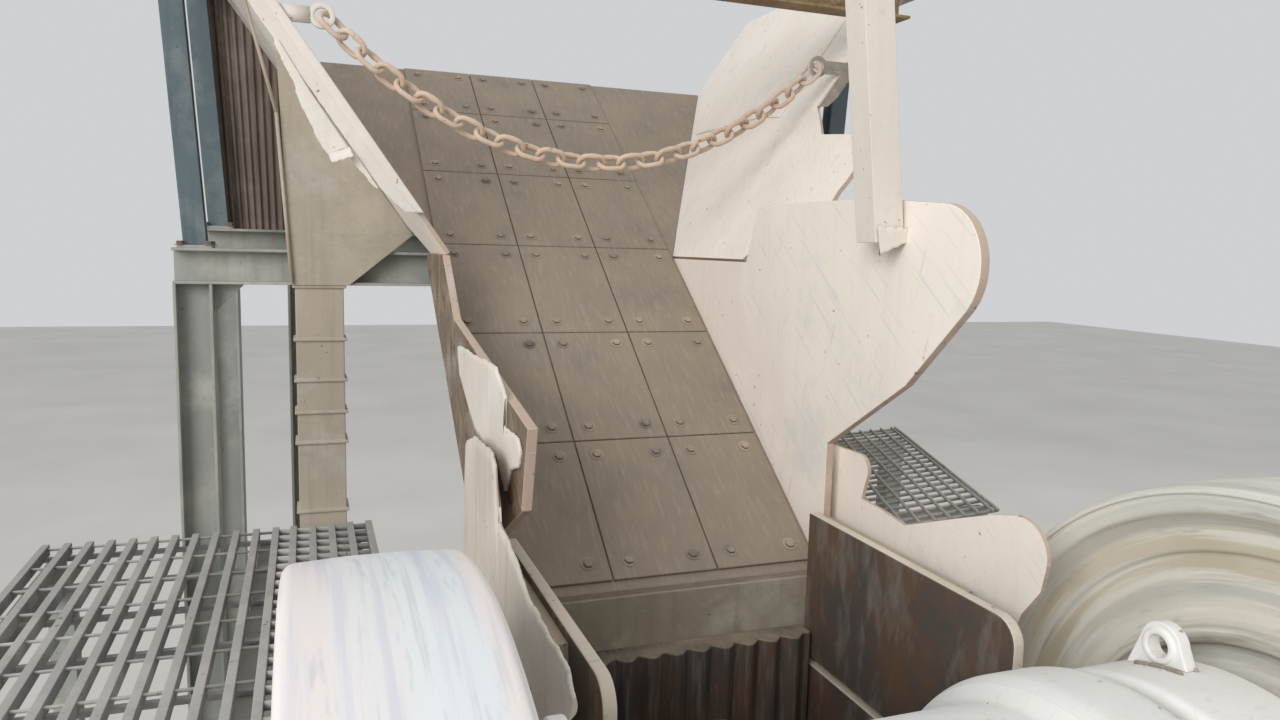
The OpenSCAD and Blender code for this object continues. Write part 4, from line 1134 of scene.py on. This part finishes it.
@dataclass
class PitmanBarrel:
    """The pitman's round barrel with a raised collar at each end."""

    barrel_radius: float = 0.438
    collar_radius: float = 0.483
    collar_width: float = 0.190
    half_width: float = 0.440
    bore_radius: float = 0.1355
    shoulder: float = 0.030
    skin: float = 0.0012
    segments: int = 160

    def build(self, finisher: Finisher) -> None:
        """Lays a smooth skin just outside the barrel's solid."""
        skin = self.skin
        outer, inner = self.half_width, self.half_width - self.collar_width
        barrel, collar = self.barrel_radius + skin, self.collar_radius + skin
        half = [(outer + skin, self.bore_radius), (outer + skin, collar - self.shoulder),
                (outer - 0.008, collar - 0.008),
                (outer - self.shoulder, collar), (inner + 0.040, collar), (inner + 0.008, collar - 0.012),
                (inner - 0.012, barrel)]
        corners = np.array(half + [(-x, r) for x, r in reversed(half)])
        centre = SHAFT[1:] + np.array([0.0, -THROW])
        shell = Shell().loop(turned(rounded(corners, 0.014, 5), centre, self.segments))
        piece = shell.build("pitman_barrel")
        piece.modifiers.new("even_shading", "WEIGHTED_NORMAL")
        finisher.place(piece, Body.SWING, "pitman_paint")


@dataclass
class TensionSprings:
    """Two coil springs on the tension rods."""

    coil_radius: float = 0.044
    wire_radius: float = 0.009
    turns: float = 6.0
    rod_spacing: float = 0.500

    def build(self, finisher: Finisher) -> None:
        """Makes both coils in the place of their CAD solids."""
        low, high = node_box("tension_springs")
        length = high[1] - low[1]
        z = (low[2] + high[2]) / 2.0
        t = np.linspace(0.0, 1.0, int(self.turns * 28))
        shell = Shell()
        for x in (-self.rod_spacing / 2.0, self.rod_spacing / 2.0):
            a = TURN * self.turns * t
            radial = np.stack([np.cos(a), np.zeros_like(a), np.sin(a)], axis=-1)
            path = radial * self.coil_radius + np.array([x, low[1], z])
            path[:, 1] += self.wire_radius + t * (length - 2.0 * self.wire_radius)
            shell.solid(tube(path, self.wire_radius, radial, 12))
        finisher.place(shell.build("spring_coils"), Body.SWING, "spring_steel", "tension_springs")


# Frame


@dataclass
class BearingCaps:
    """Turned covers of the two main bearings, with their seal rings and split-line bolts."""

    shoulder: float = 0.024
    bore_radius: float = 0.1105
    housing_width: float = 0.175
    inner_lip: float = 0.045
    ring_radius: float = 0.250
    ring_hole: float = 0.116
    ring_thickness: float = 0.014
    ring_bolts: int = 8
    bolt_inset: float = 0.032
    ear_low: tuple[float, float, float] = (0.550, 0.390, 0.0)
    ear_high: tuple[float, float, float] = (0.685, 0.502, 0.038)
    segments: int = 128

    def build(self, finisher: Finisher) -> None:
        """Makes the caps with their ears, the seal rings on their outer faces and the rings' bolts."""
        high = node_box("bearing_caps")[1]
        radius = high[2] - SHAFT[2]
        base_inner = node_box("bearing_bases")[1, 0] - self.housing_width
        shell, rings, bolts, ears = Shell(), Shell(), Shell(), Shell()
        for side in Side:
            inner, outer = side.value * (base_inner - self.inner_lip), side.value * high[0]
            self.half_drum(shell, inner, outer, radius)
            for end in (-1, 1):
                corners = np.array([self.ear_low, self.ear_high]) * [side.value, end, 1.0]
                ears.boxes(SHAFT + corners.min(axis=0), SHAFT + corners.max(axis=0))
            front = outer + side.value * self.ring_thickness
            ring = np.array([(outer, self.ring_hole), (outer, self.ring_radius),
                             (front, self.ring_radius - 0.012), (front, self.ring_hole)])
            rings.loop(turned(rounded(ring, 0.004, 3), SHAFT[1:], 96))
            directions = circle(self.ring_bolts, TURN / 16.0)
            spots = SHAFT[1:] + (self.ring_radius - self.bolt_inset) * directions
            origins = np.column_stack([np.full(self.ring_bolts, front), spots])
            bolts.stamp(hex_bolt(0.030, 0.018), origins, side.turn)
        finisher.place(shell.build("bearing_cap_drums"), Body.FRAME, "housing_paint", "bearing_caps")
        lugs = ears.build("bearing_cap_ears", smooth=False)
        finish_edges(lugs, 0.006, 3)
        finisher.place(lugs, Body.FRAME, "housing_paint")
        seal = rings.build("bearing_seal_rings")
        seal.modifiers.new("even_shading", "WEIGHTED_NORMAL")
        finisher.place(seal, Body.FRAME, "housing_paint")
        finisher.place(bolts.build("bearing_seal_bolts", smooth=False), Body.FRAME, "rod_steel")

    def half_drum(self, shell: Shell, inner: float, outer: float, radius: float) -> None:
        """Adds the upper half of a drum with rounded shoulders.

        Args:
            shell: takes the surface.
            inner: x of its inner face.
            outer: x of its outer face.
            radius: of the drum.
        """
        bore = self.bore_radius
        corners = np.array([(inner, bore), (inner, radius), (outer, radius), (outer, bore)])
        profile = rounded(corners, self.shoulder, 8)
        profile[:8] = corners[0]
        profile[-8:] = corners[3]
        a = np.linspace(0.0, np.pi, self.segments)[:, None]
        x, r = profile[:, 0][None], profile[:, 1][None]
        y, z = SHAFT[1] + r * np.cos(a), SHAFT[2] + r * np.sin(a)
        shell.solid(np.stack([np.broadcast_to(x, y.shape), y, z], axis=-1))


@dataclass
class FrameBolts:
    """Bolts that hold the housings, jaw plates and cheek plates, and the foundation nuts."""

    wall_face: float = 0.530
    ear_top: float = 0.038

    def build(self, finisher: Finisher) -> None:
        """Makes each group of bolts."""
        big, small = hex_bolt(0.060, 0.034), hex_bolt(0.036, 0.022)
        up, down = facing(np.array([0.0, 0.0, 1.0])), facing(np.array([0.0, 0.0, -1.0]))
        shell = Shell()
        for side in Side:
            y, z = np.meshgrid([0.66, 0.90, 1.06, 1.25], [-1.10, -0.86, -0.66, -0.34, -0.18])
            spots = np.column_stack([np.full(y.size, side.value * self.wall_face), y.ravel(), z.ravel()])
            shell.stamp(small, SHAFT + spots, side.turn)
            ears = np.array([[side.value * x, y, 0.0] for x in (0.588, 0.648) for y in (-0.474, 0.474)])
            shell.stamp(small, SHAFT + ears + [0.0, 0.0, self.ear_top], up)
            shell.stamp(small, SHAFT + ears - [0.0, 0.0, self.ear_top], down)
        shell.stamp(big, around(0.650, 0.780, 0.040), up)
        front = node_box("front_wall")
        x, z = np.meshgrid([-0.36, -0.12, 0.12, 0.36], SHAFT[2] + np.array([-0.86, -0.70, -0.38, -0.18]))
        spots = np.column_stack([x.ravel(), np.full(x.size, front[0, 1] + 0.060), z.ravel()])
        shell.stamp(big, spots, facing(np.array([0.0, 1.0, 0.0])))
        finisher.place(shell.build("frame_bolts", smooth=False), Body.FRAME, "rod_steel")


@dataclass
class ThinPlates:
    """The torn skirt, patch and mouth band on the left, and the guard post's bent foot on the right."""

    skirt_face: float = -0.560
    patch_face: float = -0.526
    mouth_face: float = 2.034

    def build(self, finisher: Finisher) -> None:
        """Makes each plate from the two broken lines that bound it."""
        skirt = TornPlate([(0.228, 0.462), (0.275, 0.420), (0.470, 0.300), (0.600, 0.060), (1.310, 0.120)],
                          [(0.196, 0.505), (0.240, 0.536), (0.322, 0.540), (0.528, 0.537), (0.664, 0.575),
                           (0.840, 0.612), (0.856, 0.736), (0.900, 0.752), (1.143, 0.746), (1.290, 0.690)],
                          self.skirt_face, -0.012, 0, 0.006, 0.0, 0.010, 0.0, 11, 260, 26)
        spacers = Shell()
        for y, z in ((0.700, 0.200), (1.120, 0.340)):
            low = SHAFT + [self.skirt_face, y - 0.030, z - 0.020]
            spacers.boxes(low, SHAFT + [-0.530, y + 0.030, z + 0.020])
        piece = skirt.shell().build("torn_skirt_left")
        finisher.place(piece, Body.FRAME, "skirt_brown", "skirt_left")
        finisher.place(spacers.build("skirt_spacers_left", smooth=False), Body.FRAME, "skirt_brown")
        patch = TornPlate([(0.785, 0.770), (0.800, 0.742), (0.887, 0.716), (0.941, 0.649), (1.033, 0.700),
                           (1.166, 0.702), (1.353, 0.717), (1.619, 0.834)],
                          [(0.785, 0.786), (0.811, 0.808), (0.960, 0.800), (0.976, 0.806), (0.949, 0.875),
                           (1.072, 0.930), (1.370, 0.926), (1.668, 0.920)],
                          self.patch_face, -0.009, 0, 0.005, 0.004, 0.003, 0.0, 23, 240, 14)
        finisher.place(patch.shell().build("torn_patch"), Body.FRAME, "flange_cream", "chute_patch")
        foot = TornPlate([(0.424, 1.229), (0.462, 1.246), (0.500, 1.262)], [(0.412, 1.300), (0.500, 1.300)],
                         0.869, -0.008, 1, 0.003, 0.002, 0.002, 0.004, 53, 40, 10)
        finisher.place(foot.shell().build("bent_post_foot"), Body.FRAME, "flange_cream")
        finisher.place(self.mouth_band().build("torn_mouth_band"), Body.FRAME, "flange_cream",
                       "mouth_flange_left")

    def mouth_band(self) -> Shell:
        """The folded band up the left mouth edge, with the strip torn off its foot and the chain's eye.

        Returns:
            The shell of all its plates.
        """
        def edge(z: float, width: float) -> tuple[float, float]:
            """A place beside the flared wall's edge, as x and height."""
            return -(flare_x(z) + width), z

        low, high = 1.330, 2.480
        shell = Shell()
        plates = [
            TornPlate([edge(low, 0.0), edge(high, 0.0)],
                      [edge(low, 0.060), edge(1.400, 0.086), edge(high, 0.094)],
                      self.mouth_face, 0.012, 1, 0.003, 0.0, 0.004, 0.0, 31, 200, 14),
            # The pale fold that the band is bent over
            TornPlate([edge(low, -0.001), edge(high, -0.001)],
                      [edge(low, 0.026), edge(1.400, 0.036), edge(high, 0.042)],
                      self.mouth_face - 0.010, 0.010, 1, 0.003, 0.0, 0.001, 0.009, 37, 160, 8),
            TornPlate([edge(1.535, 0.097), edge(1.700, 0.094), edge(1.850, 0.080)],
                      [(-0.894, 1.506), (-0.928, 1.559), (-0.986, 1.690), (-0.996, 1.730), (-1.048, 1.836),
                       (-1.052, 1.858)],
                      self.mouth_face - 0.004, 0.009, 1, 0.003, 0.0, 0.0025, 0.004, 41, 150, 12),
            # The end of that strip, curled towards the viewer
            TornPlate([(-0.894, 1.508), (-0.826, 1.533)], [(-0.884, 1.478), (-0.816, 1.503)],
                      self.mouth_face - 0.002, -0.008, 1, 0.002, 0.0, 0.004, 0.030, 43, 30, 10),
            TornPlate([(-0.826, 1.534), (-0.786, 1.480), (-0.738, 1.408)],
                      [(-0.852, 1.530), (-0.806, 1.474), (-0.744, 1.402)],
                      self.mouth_face - 0.004, 0.008, 1, 0.003, 0.0, 0.003, 0.0, 47, 70, 8)]
        for plate in plates:
            shell.join(plate.shell())
        eye = np.array([-0.9046, self.mouth_face, 1.9394])
        shell.boxes(SHAFT + [-1.045, self.mouth_face, 1.9144], SHAFT + [-0.940, 2.050, 1.9644])
        ring = np.array([(0.0, 0.024), (0.0, 0.040), (0.016, 0.040), (0.016, 0.024)])
        turn = np.linspace(0.0, TURN, 40, endpoint=False)[:, None]
        profile = rounded(ring, 0.003, 3)
        depth, r = profile[:, 0][None] + 0.0 * turn, profile[:, 1][None]
        points = np.stack([r * np.cos(turn), depth, r * np.sin(turn)], axis=-1)
        return shell.loop(points + SHAFT + eye)


@dataclass
class WalkwayRods:
    """The right walkway's welded rods, and the round rungs of the left one's inner panel."""

    pitch: float = 0.068
    rod: float = 0.006
    corner: tuple[float, float, float] = (1.200, 1.250, 0.380)
    lean: float = 22.0
    cross_lean: float = 9.0
    wide: int = 7
    long: int = 21

    def build(self, finisher: Finisher) -> None:
        """Makes the rods, lying at two slants, and the rungs under the grating's bars."""
        lean, cross = np.radians([self.lean, self.cross_lean])
        ahead = np.array([np.sin(lean), np.cos(lean), 0.0])
        beside = np.array([np.cos(cross), np.sin(cross), 0.0])
        corner = SHAFT + self.corner
        inward = np.concatenate([[-0.35], np.arange(self.wide + 1.0)]) * self.pitch
        starts = corner - inward[:, None] * beside
        shell = Shell()
        rows = 60
        for k, start in enumerate(starts):
            path = start + np.linspace(0.0, self.long * self.pitch, rows)[:, None] * ahead
            path += 0.0016 * wander(rows, 60 + k, 6)[:, None] * beside
            shell.solid(tube(path, self.rod, np.array([0.0, 0.0, 1.0]), 10))
        count = np.clip(np.arange(self.long + 1.0) * self.pitch, 2.0 * self.rod,
                        self.long * self.pitch - 2.0 * self.rod)
        rungs = corner + count[:, None] * ahead - [0.0, 0.0, 0.006]
        near = rungs - (self.wide * self.pitch + self.rod) * beside
        shell.join(bars_between(near, rungs + (0.35 * self.pitch + self.rod) * beside, self.rod, 10))
        finisher.place(shell.build("mesh_rods"), Body.FRAME, "mesh_steel", "mesh_right")
        y = SHAFT[1] + np.arange(0.980, 2.440, 0.080)
        z = SHAFT[2] + 0.150 - 0.0135
        far = np.column_stack([np.full(y.size, -0.748), y, np.full(y.size, z)])
        near = far - [0.334, 0.0, 0.0]
        rungs = bars_between(near, far, 0.0115, 12)
        y = SHAFT[1] + np.arange(-0.850, 2.440, 0.204)
        low = np.column_stack([np.full(y.size, -1.852), y, np.full(y.size, z + 0.004)])
        rungs.join(bars_between(low, low + [0.768, 0.0, 0.0], 0.005, 8))
        finisher.place(rungs.build("grating_rungs"), Body.FRAME, "grating_steel")


@dataclass
class ChuteLiners:
    """Wear plates bolted over the chute floor, and one plate laid over each flared wall."""

    thickness: float = 0.010
    wall_thickness: float = 0.008
    bolt_inset: float = 0.060
    floor_columns: tuple[float, ...] = (-0.488, -0.162, 0.164)
    floor_rows: tuple[float, ...] = (0.030, 0.560, 1.090, 1.620, 2.150, 2.680)
    floor_width: float = 0.322
    floor_length: float = 0.526
    floor_end: float = 3.095

    def build(self, finisher: Finisher) -> None:
        """Makes the plates on the floor and on both walls, with their bolts."""
        plates, walls, bolts = Shell(), Shell(), Shell()
        slope = np.array([0.0, np.cos(FLOOR_SLOPE), np.sin(FLOOR_SLOPE)])
        across = np.array([1.0, 0.0, 0.0])
        origin = SHAFT + FLOOR_START
        for x0 in self.floor_columns:
            for s0 in self.floor_rows:
                size = (self.floor_width, min(self.floor_length, self.floor_end - s0))
                self.plate(plates, bolts, origin, across, slope, (x0, s0), size)
        # One plate on each wall, above the floor, as places along Y and up the slope
        outline = np.array([(2.335, 0.717), (2.542, 0.750), (3.250, 0.750), (3.690, 1.135), (3.690, 1.600),
                            (2.335, 1.600)])
        for side in Side:
            start = SHAFT + [side.value * CHUTE_HALF, 0.0, FLARE_START]
            up = np.array([side.value * np.sin(FLARE), 0.0, np.cos(FLARE)])
            inward = np.array([-side.value * np.cos(FLARE), 0.0, np.sin(FLARE)])
            under = start + outline[:, :1] * [0.0, 1.0, 0.0] + outline[:, 1:] * up
            walls.solid(np.stack([under, under + self.wall_thickness * inward]))
        floor = plates.build("floor_liners", smooth=False)
        finish_edges(floor, 0.003)
        finisher.place(floor, Body.FRAME, "floor_steel")
        lining = walls.build("wall_liners", smooth=False)
        finish_edges(lining, 0.002)
        finisher.place(lining, Body.FRAME, "chute_cream")
        finisher.place(bolts.build("liner_bolts", smooth=False), Body.FRAME, "rod_steel")

    def plate(self, shell: Shell, bolts: Shell, origin: Array, u: Array, v: Array, low: tuple[float, float],
              size: tuple[float, float]) -> None:
        """Adds one plate and its four bolts.

        Args:
            shell: takes the plate.
            bolts: takes the bolts.
            origin: a point of the surface it lies on.
            u: one direction in that surface.
            v: the other, so that u crossed with v points off the surface.
            low: where the plate starts, along u and v.
            size: its size along them.
        """
        turn = np.stack([u, v, np.cross(u, v)], axis=-1)
        top = np.array([low[0] + size[0], low[1] + size[1], self.thickness])
        shell.stamp(Shell().boxes(np.array([low[0], low[1], 0.0]), top), origin, turn)
        inset = self.bolt_inset
        spots = np.array([[low[0] + a, low[1] + b, self.thickness] for a in (inset, size[0] - inset)
                          for b in (inset, size[1] - inset)])
        bolts.stamp(hex_bolt(0.026, 0.008), origin + spots @ turn.T, turn)


@dataclass
class SteelworkFittings:
    """Foot plates with their anchors, beam clamps, knee plates and the thin stay rod on the left."""

    plate: float = 0.230
    walkway_plate: float = 0.150
    thickness: float = 0.016
    knee_top: float = 1.055
    knee_leg: float = 0.110

    def build(self, finisher: Finisher) -> None:
        """Makes the fittings of the supports and walkways."""
        plates, bolts = Shell(), Shell()
        near, far = SHAFT[1] + NEAR_ROW, SHAFT[1] + FAR_ROW
        leg_x = node_box("support_legs")[1, 0] - LEG_HALF
        stands = [(side.value * x, y) for side in Side for x, y in
                  ((leg_x, near), (leg_x - 0.050, far), (0.980, far), (0.920, near))]
        walk = [(-x, SHAFT[1] + y) for x in (1.140, 1.788) for y in (-0.860, 0.740, 2.410)]
        sizes = [self.plate] * len(stands) + [self.walkway_plate] * len(walk)
        for (x, y), width in zip(stands + walk, sizes):
            half = width / 2.0
            plates.boxes(np.array([x - half, y - half, 0.0]), np.array([x + half, y + half, self.thickness]))
            grip = half - 0.028
            bolts.stamp(hex_bolt(0.026, 0.018), around(grip, grip, self.thickness) + [x, y, 0.0], np.eye(3))
        for side in Side:
            for x, y, z in ((NEAR_POST_X, NEAR_ROW, NEAR_TOP), (POST_X, FAR_ROW, FAR_TOP)):
                # A foot plate under each blue post, clamped to the cross beam's flange
                foot = np.array([side.value * leaned_x(x, z), y, z])
                plates.boxes(SHAFT + foot - [0.060, 0.066, 0.0], SHAFT + foot + [0.060, 0.066, 0.010])
                bolts.stamp(hex_bolt(0.022, 0.016), SHAFT + foot + around(0.049, 0.054, 0.010), np.eye(3))
            # Knee plates under the near cross beam
            knee = SHAFT + [side.value * (leg_x - LEG_HALF), NEAR_ROW, self.knee_top]
            leg = self.knee_leg
            corners = knee + np.array([[0.0, 0.0, 0.0], [-side.value * leg, 0.0, 0.0], [0.0, 0.0, -leg]])
            plates.solid(np.stack([corners - [0.0, 0.005, 0.0], corners + [0.0, 0.005, 0.0]]))
        body = plates.build("support_plates", smooth=False)
        finish_edges(body, 0.0015)
        finisher.place(body, Body.FRAME, "support_paint")
        finisher.place(bolts.build("support_bolts", smooth=False), Body.FRAME, "rod_steel")
        places = SHAFT + np.array([[-1.167, 2.606, 2.120], [-1.062, 2.606, 1.700], [-1.020, 2.606, 1.062]])
        stay = bars_between(places[:-1], places[1:], 0.007, 10)
        finisher.place(stay.build("thin_stay_rod"), Body.FRAME, "pier_paint")


@dataclass
class WeldSeams:
    """Weld beads where plates and sections meet."""

    wall_x: float = 0.531
    lug_x: float = 0.6075
    lug_radius: float = 0.452
    bead_radius: float = 0.005

    def build(self, finisher: Finisher) -> None:
        """Lays a bead along each seam."""
        shell = Shell()
        for side in Side:
            x = side.value * self.wall_x
            for y in (-0.480, -0.170, 0.140, 0.450):
                for edge in (y - 0.001, y + 0.031):
                    self.bead(shell, (x, edge, -1.508), (x, edge, -0.482))
            for y in (0.820, 1.320):
                for edge in (y - 0.001, y + 0.031):
                    self.bead(shell, (x, edge, -1.508), (x, edge, 0.018))
            for z in (-1.000, -0.480):
                for edge in (z - 0.001, z + 0.031):
                    self.bead(shell, (x, 0.860, edge), (x, 1.318, edge))
            self.bead(shell, (x, -0.590, -1.508), (x, 1.340, -1.508))
            for offset in (-0.016, 0.024):
                angle = np.radians(np.linspace(70.0, 84.0, 4))
                across = side.value * self.lug_x + side.value * offset
                places = np.column_stack([np.full(4, across), self.lug_radius * np.cos(angle),
                                          self.lug_radius * np.sin(angle)])
                for start, end in zip(places[:-1], places[1:]):
                    self.bead(shell, start, end)
            flare = np.array([side.value * flare_x(1.90), 2.617, 1.90])
            below = np.array([side.value * flare_x(1.26), 2.617, 1.26])
            skin = np.array([side.value * 0.0195, 0.0, 0.0])
            self.bead(shell, below + skin, flare + skin)
            for y in (2.660, 2.740):
                for x in (-0.040, 0.040):
                    post = np.array([side.value * leaned_x(NEAR_POST_X, NEAR_TOP) + x, y, NEAR_TOP + 0.010])
                    self.bead(shell, post - [0.010, 0.0, 0.0], post + [0.010, 0.0, 0.0])
        finisher.place(shell.build("weld_beads"), Body.FRAME, "angle_grey")

    def bead(self, shell: Shell, start: Any, end: Any) -> None:
        """Adds one bead between two points measured from the shaft axis."""
        shell.solid(weld_bead(SHAFT + start, SHAFT + end, self.bead_radius))


@dataclass
class GuardChain:
    """Welded steel chain that hangs across the hopper's mouth between two eyes."""

    wire_radius: float = 0.009
    bend_radius: float = 0.030
    pitch: float = 0.075
    gap: float = 0.002
    low_point: float = 1.530
    half_span: float = 0.900
    sag: float = 0.410

    def parameter(self) -> float:
        """The catenary's parameter c, by correcting c until c (cosh(h/c) - 1) is the sag."""
        c = 1.0
        for _ in range(60):
            c *= c * (np.cosh(self.half_span / c) - 1.0) / self.sag
        return c

    def build(self, finisher: Finisher) -> None:
        """Makes every link along the catenary, turned 90 degrees from the one before."""
        node = node_box("chain")
        c = self.parameter()
        count = int(2.0 * c * np.sinh(self.half_span / c) / self.pitch)
        s = (np.arange(count) - (count - 1) / 2.0) * self.pitch
        x = c * np.arcsinh(s / c)
        z = SHAFT[2] + self.low_point + c * (np.cosh(x / c) - 1.0)
        origins = np.column_stack([x, np.full(count, (node[0, 1] + node[1, 1]) / 2.0), z])
        lean = np.arctan(np.sinh(x / c))
        turn = np.pi / 4.0 + np.pi / 2.0 * (np.arange(count) % 2)
        forward = np.column_stack([np.cos(lean), np.zeros(count), np.sin(lean)])
        upward = np.column_stack([-np.sin(lean), np.zeros(count), np.cos(lean)])
        sideways = np.cross(upward, forward)
        second = sideways * np.cos(turn)[:, None] + upward * np.sin(turn)[:, None]
        turns = np.stack([forward, second, np.cross(forward, second)], axis=-1)
        shell = Shell().stamp(self.link(), origins, turns)
        finisher.place(shell.build("chain_links"), Body.FRAME, "chain_rust", "chain")

    def link(self) -> Shell:
        """One link in its own XY plane: two straight sides joined by two half circles, with its weld."""
        straight = (self.pitch + self.gap + 2.0 * self.wire_radius - 2.0 * self.bend_radius) / 2.0
        a = np.linspace(-np.pi / 2.0, np.pi / 2.0, 11)
        bend = np.column_stack([straight + self.bend_radius * np.cos(a), self.bend_radius * np.sin(a),
                                0.0 * a])
        other = bend * np.array([-1.0, -1.0, 1.0])
        sides = np.array([[0.0, self.bend_radius, 0.0]])
        path = np.vstack([bend, sides, other, -sides])
        radius = np.full(len(path), self.wire_radius)
        # The weld swells the middle of one side, the point after the first bend
        radius[len(a)] *= 1.22
        return Shell().loop(tube(path, radius, np.array([0.0, 0.0, 1.0]), 10, closed=True))


@dataclass
class SideSheets:
    """Ribbed cladding sheets behind the far posts."""

    rib_pitch: float = 0.034
    rib_depth: float = 0.014
    thickness: float = 0.003
    inner: float = 0.980
    wall_out: float = 0.0275

    def build(self, finisher: Finisher) -> None:
        """Makes both sheets as a wave across their width, in the place of the flat CAD sheets."""
        low, high = node_box("side_sheets")
        shell = Shell()
        for side in Side:
            # Across the sheet u runs from its inner edge to the slanted outer one, beside the leaning post
            u = np.linspace(0.0, 1.0, 260)
            top = np.full(u.shape, high[2])
            for _ in range(4):
                across = self.inner + u * (leaned_x(POST_X, top - SHAFT[2]) - self.inner)
                # The sheet's top follows the flared wall's outside up to its own level top
                wall = SHAFT[2] + FLARE_START + (across - CHUTE_HALF - self.wall_out) / np.tan(FLARE)
                top = np.minimum(wall, high[2])
            up = np.linspace(0.0, 1.0, 16)[:, None]
            z = low[2] + (top - low[2])[None] * up
            x = self.inner + u[None] * (leaned_x(POST_X, z - SHAFT[2]) - self.inner)
            wave = 0.5 + 0.5 * np.tanh(2.5 * np.sin(TURN * across / self.rib_pitch))
            y = (low[1] + self.rib_depth * wave)[None] + 0.0 * up
            front = np.stack([side.value * x, y, z], axis=-1)
            back = front + np.array([0.0, self.thickness, 0.0])
            shell.grid(np.concatenate([front, back[:, ::-1]], axis=1), wrap_cols=True)
        finisher.place(shell.build("ribbed_sheets"), Body.FRAME, "sheet_rust", "side_sheets")


# Studio


@dataclass
class Studio:
    """Pale floor, soft lamps and the camera at the photograph's angle."""

    camera_place: tuple[float, float, float] = (-0.966, -1.137, 1.231)
    yaw: float = 20.23
    pitch: float = 7.03
    roll: float = 1.46
    focal_px: float = 907.5
    frame_width_px: float = 1280.0
    floor_half: float = 30.0
    floor_z: float = -0.002

    def build(self) -> None:
        """Makes the floor, the world, the lamps and the camera."""
        self.make_floor()
        self.make_world()
        self.make_camera()

    def make_floor(self) -> None:
        """A wide pale floor just under the feet."""
        half, z = self.floor_half, self.floor_z
        corners = np.array([[[-half, -half, z], [half, -half, z]], [[-half, half, z], [half, half, z]]])
        floor = Shell().grid(corners).build("floor", smooth=False, outward=False)
        material, box = new_paintbox("pale_floor")
        colour = box.blend("#d9d6d0", "#cfccc6", box.band(box.noise(1800.0, 3.0), 0.3, 0.7))
        box.shade(colour, 0.9, box.noise(40.0), 0.2)
        floor.data.materials.append(material)

    def make_world(self) -> None:
        """A pale even sky and two broad soft lamps."""
        world = bpy.data.worlds.new("soft_sky")
        world.use_nodes = True
        sky = world.node_tree.nodes["Background"]
        sky.inputs[0].default_value = linear("#f2f4f7")
        sky.inputs[1].default_value = 0.70
        bpy.context.scene.world = world
        for name, place, aim, power, size in (("high_lamp", (-7.5, -6.0, 6.5), (0.0, 0.8, 1.8), 800.0, 6.0),
                                              ("side_lamp", (8.0, 3.0, 7.0), (0.0, 0.5, 1.5), 160.0, 5.0)):
            lamp = bpy.data.lights.new(name, "AREA")
            lamp.energy = power
            lamp.size = size
            holder = bpy.data.objects.new(name, lamp)
            z = np.array(place) - np.array(aim)
            holder.matrix_world = self.pose(np.array(place), facing(z))
            bpy.context.scene.collection.objects.link(holder)

    def pose(self, place: Array, turn: Array) -> Matrix:
        """A placing matrix from a point and a turn."""
        matrix = np.eye(4)
        matrix[:3, :3] = turn
        matrix[:3, 3] = place
        return Matrix(matrix.tolist())

    def make_camera(self) -> None:
        """The camera whose yaw, pitch, roll and focal length were fitted to the photograph."""
        yaw, pitch, roll = np.radians([self.yaw, self.pitch, self.roll])
        level = np.array([np.sin(yaw), np.cos(yaw), 0.0])
        beside = np.array([np.cos(yaw), -np.sin(yaw), 0.0])
        upright = np.array([0.0, 0.0, 1.0])
        forward = np.cos(pitch) * level - np.sin(pitch) * upright
        up = np.sin(pitch) * level + np.cos(pitch) * upright
        right = np.cos(roll) * beside + np.sin(roll) * up
        up = -np.sin(roll) * beside + np.cos(roll) * up
        lens = bpy.data.cameras.new("photo_camera")
        lens.sensor_width = 36.0
        lens.lens = self.focal_px / self.frame_width_px * 36.0
        lens.clip_start = 0.02
        holder = bpy.data.objects.new("photo_camera", lens)
        place = SHAFT + np.array(self.camera_place)
        holder.matrix_world = self.pose(place, np.stack([right, up, -forward], axis=-1))
        bpy.context.scene.collection.objects.link(holder)
        bpy.context.scene.camera = holder
        bpy.context.scene.view_settings.view_transform = "Standard"


def main() -> None:
    """Builds the sub-assemblies in order."""
    logging.basicConfig(level=logging.INFO, format="%(name)s: %(message)s")
    finisher = Finisher()
    finisher.dress_nodes()
    for assembly in (EasedNodes(), Flywheels(), ShaftEnds(), PitmanBarrel(), TensionSprings(), BearingCaps(),
                     FrameBolts(), ThinPlates(), WalkwayRods(), ChuteLiners(), SteelworkFittings(),
                     WeldSeams(), GuardChain(), SideSheets()):
        log.info("building %s", type(assembly).__name__)
        assembly.build(finisher)
    Studio().build()


if __name__ == "__main__":
    main()
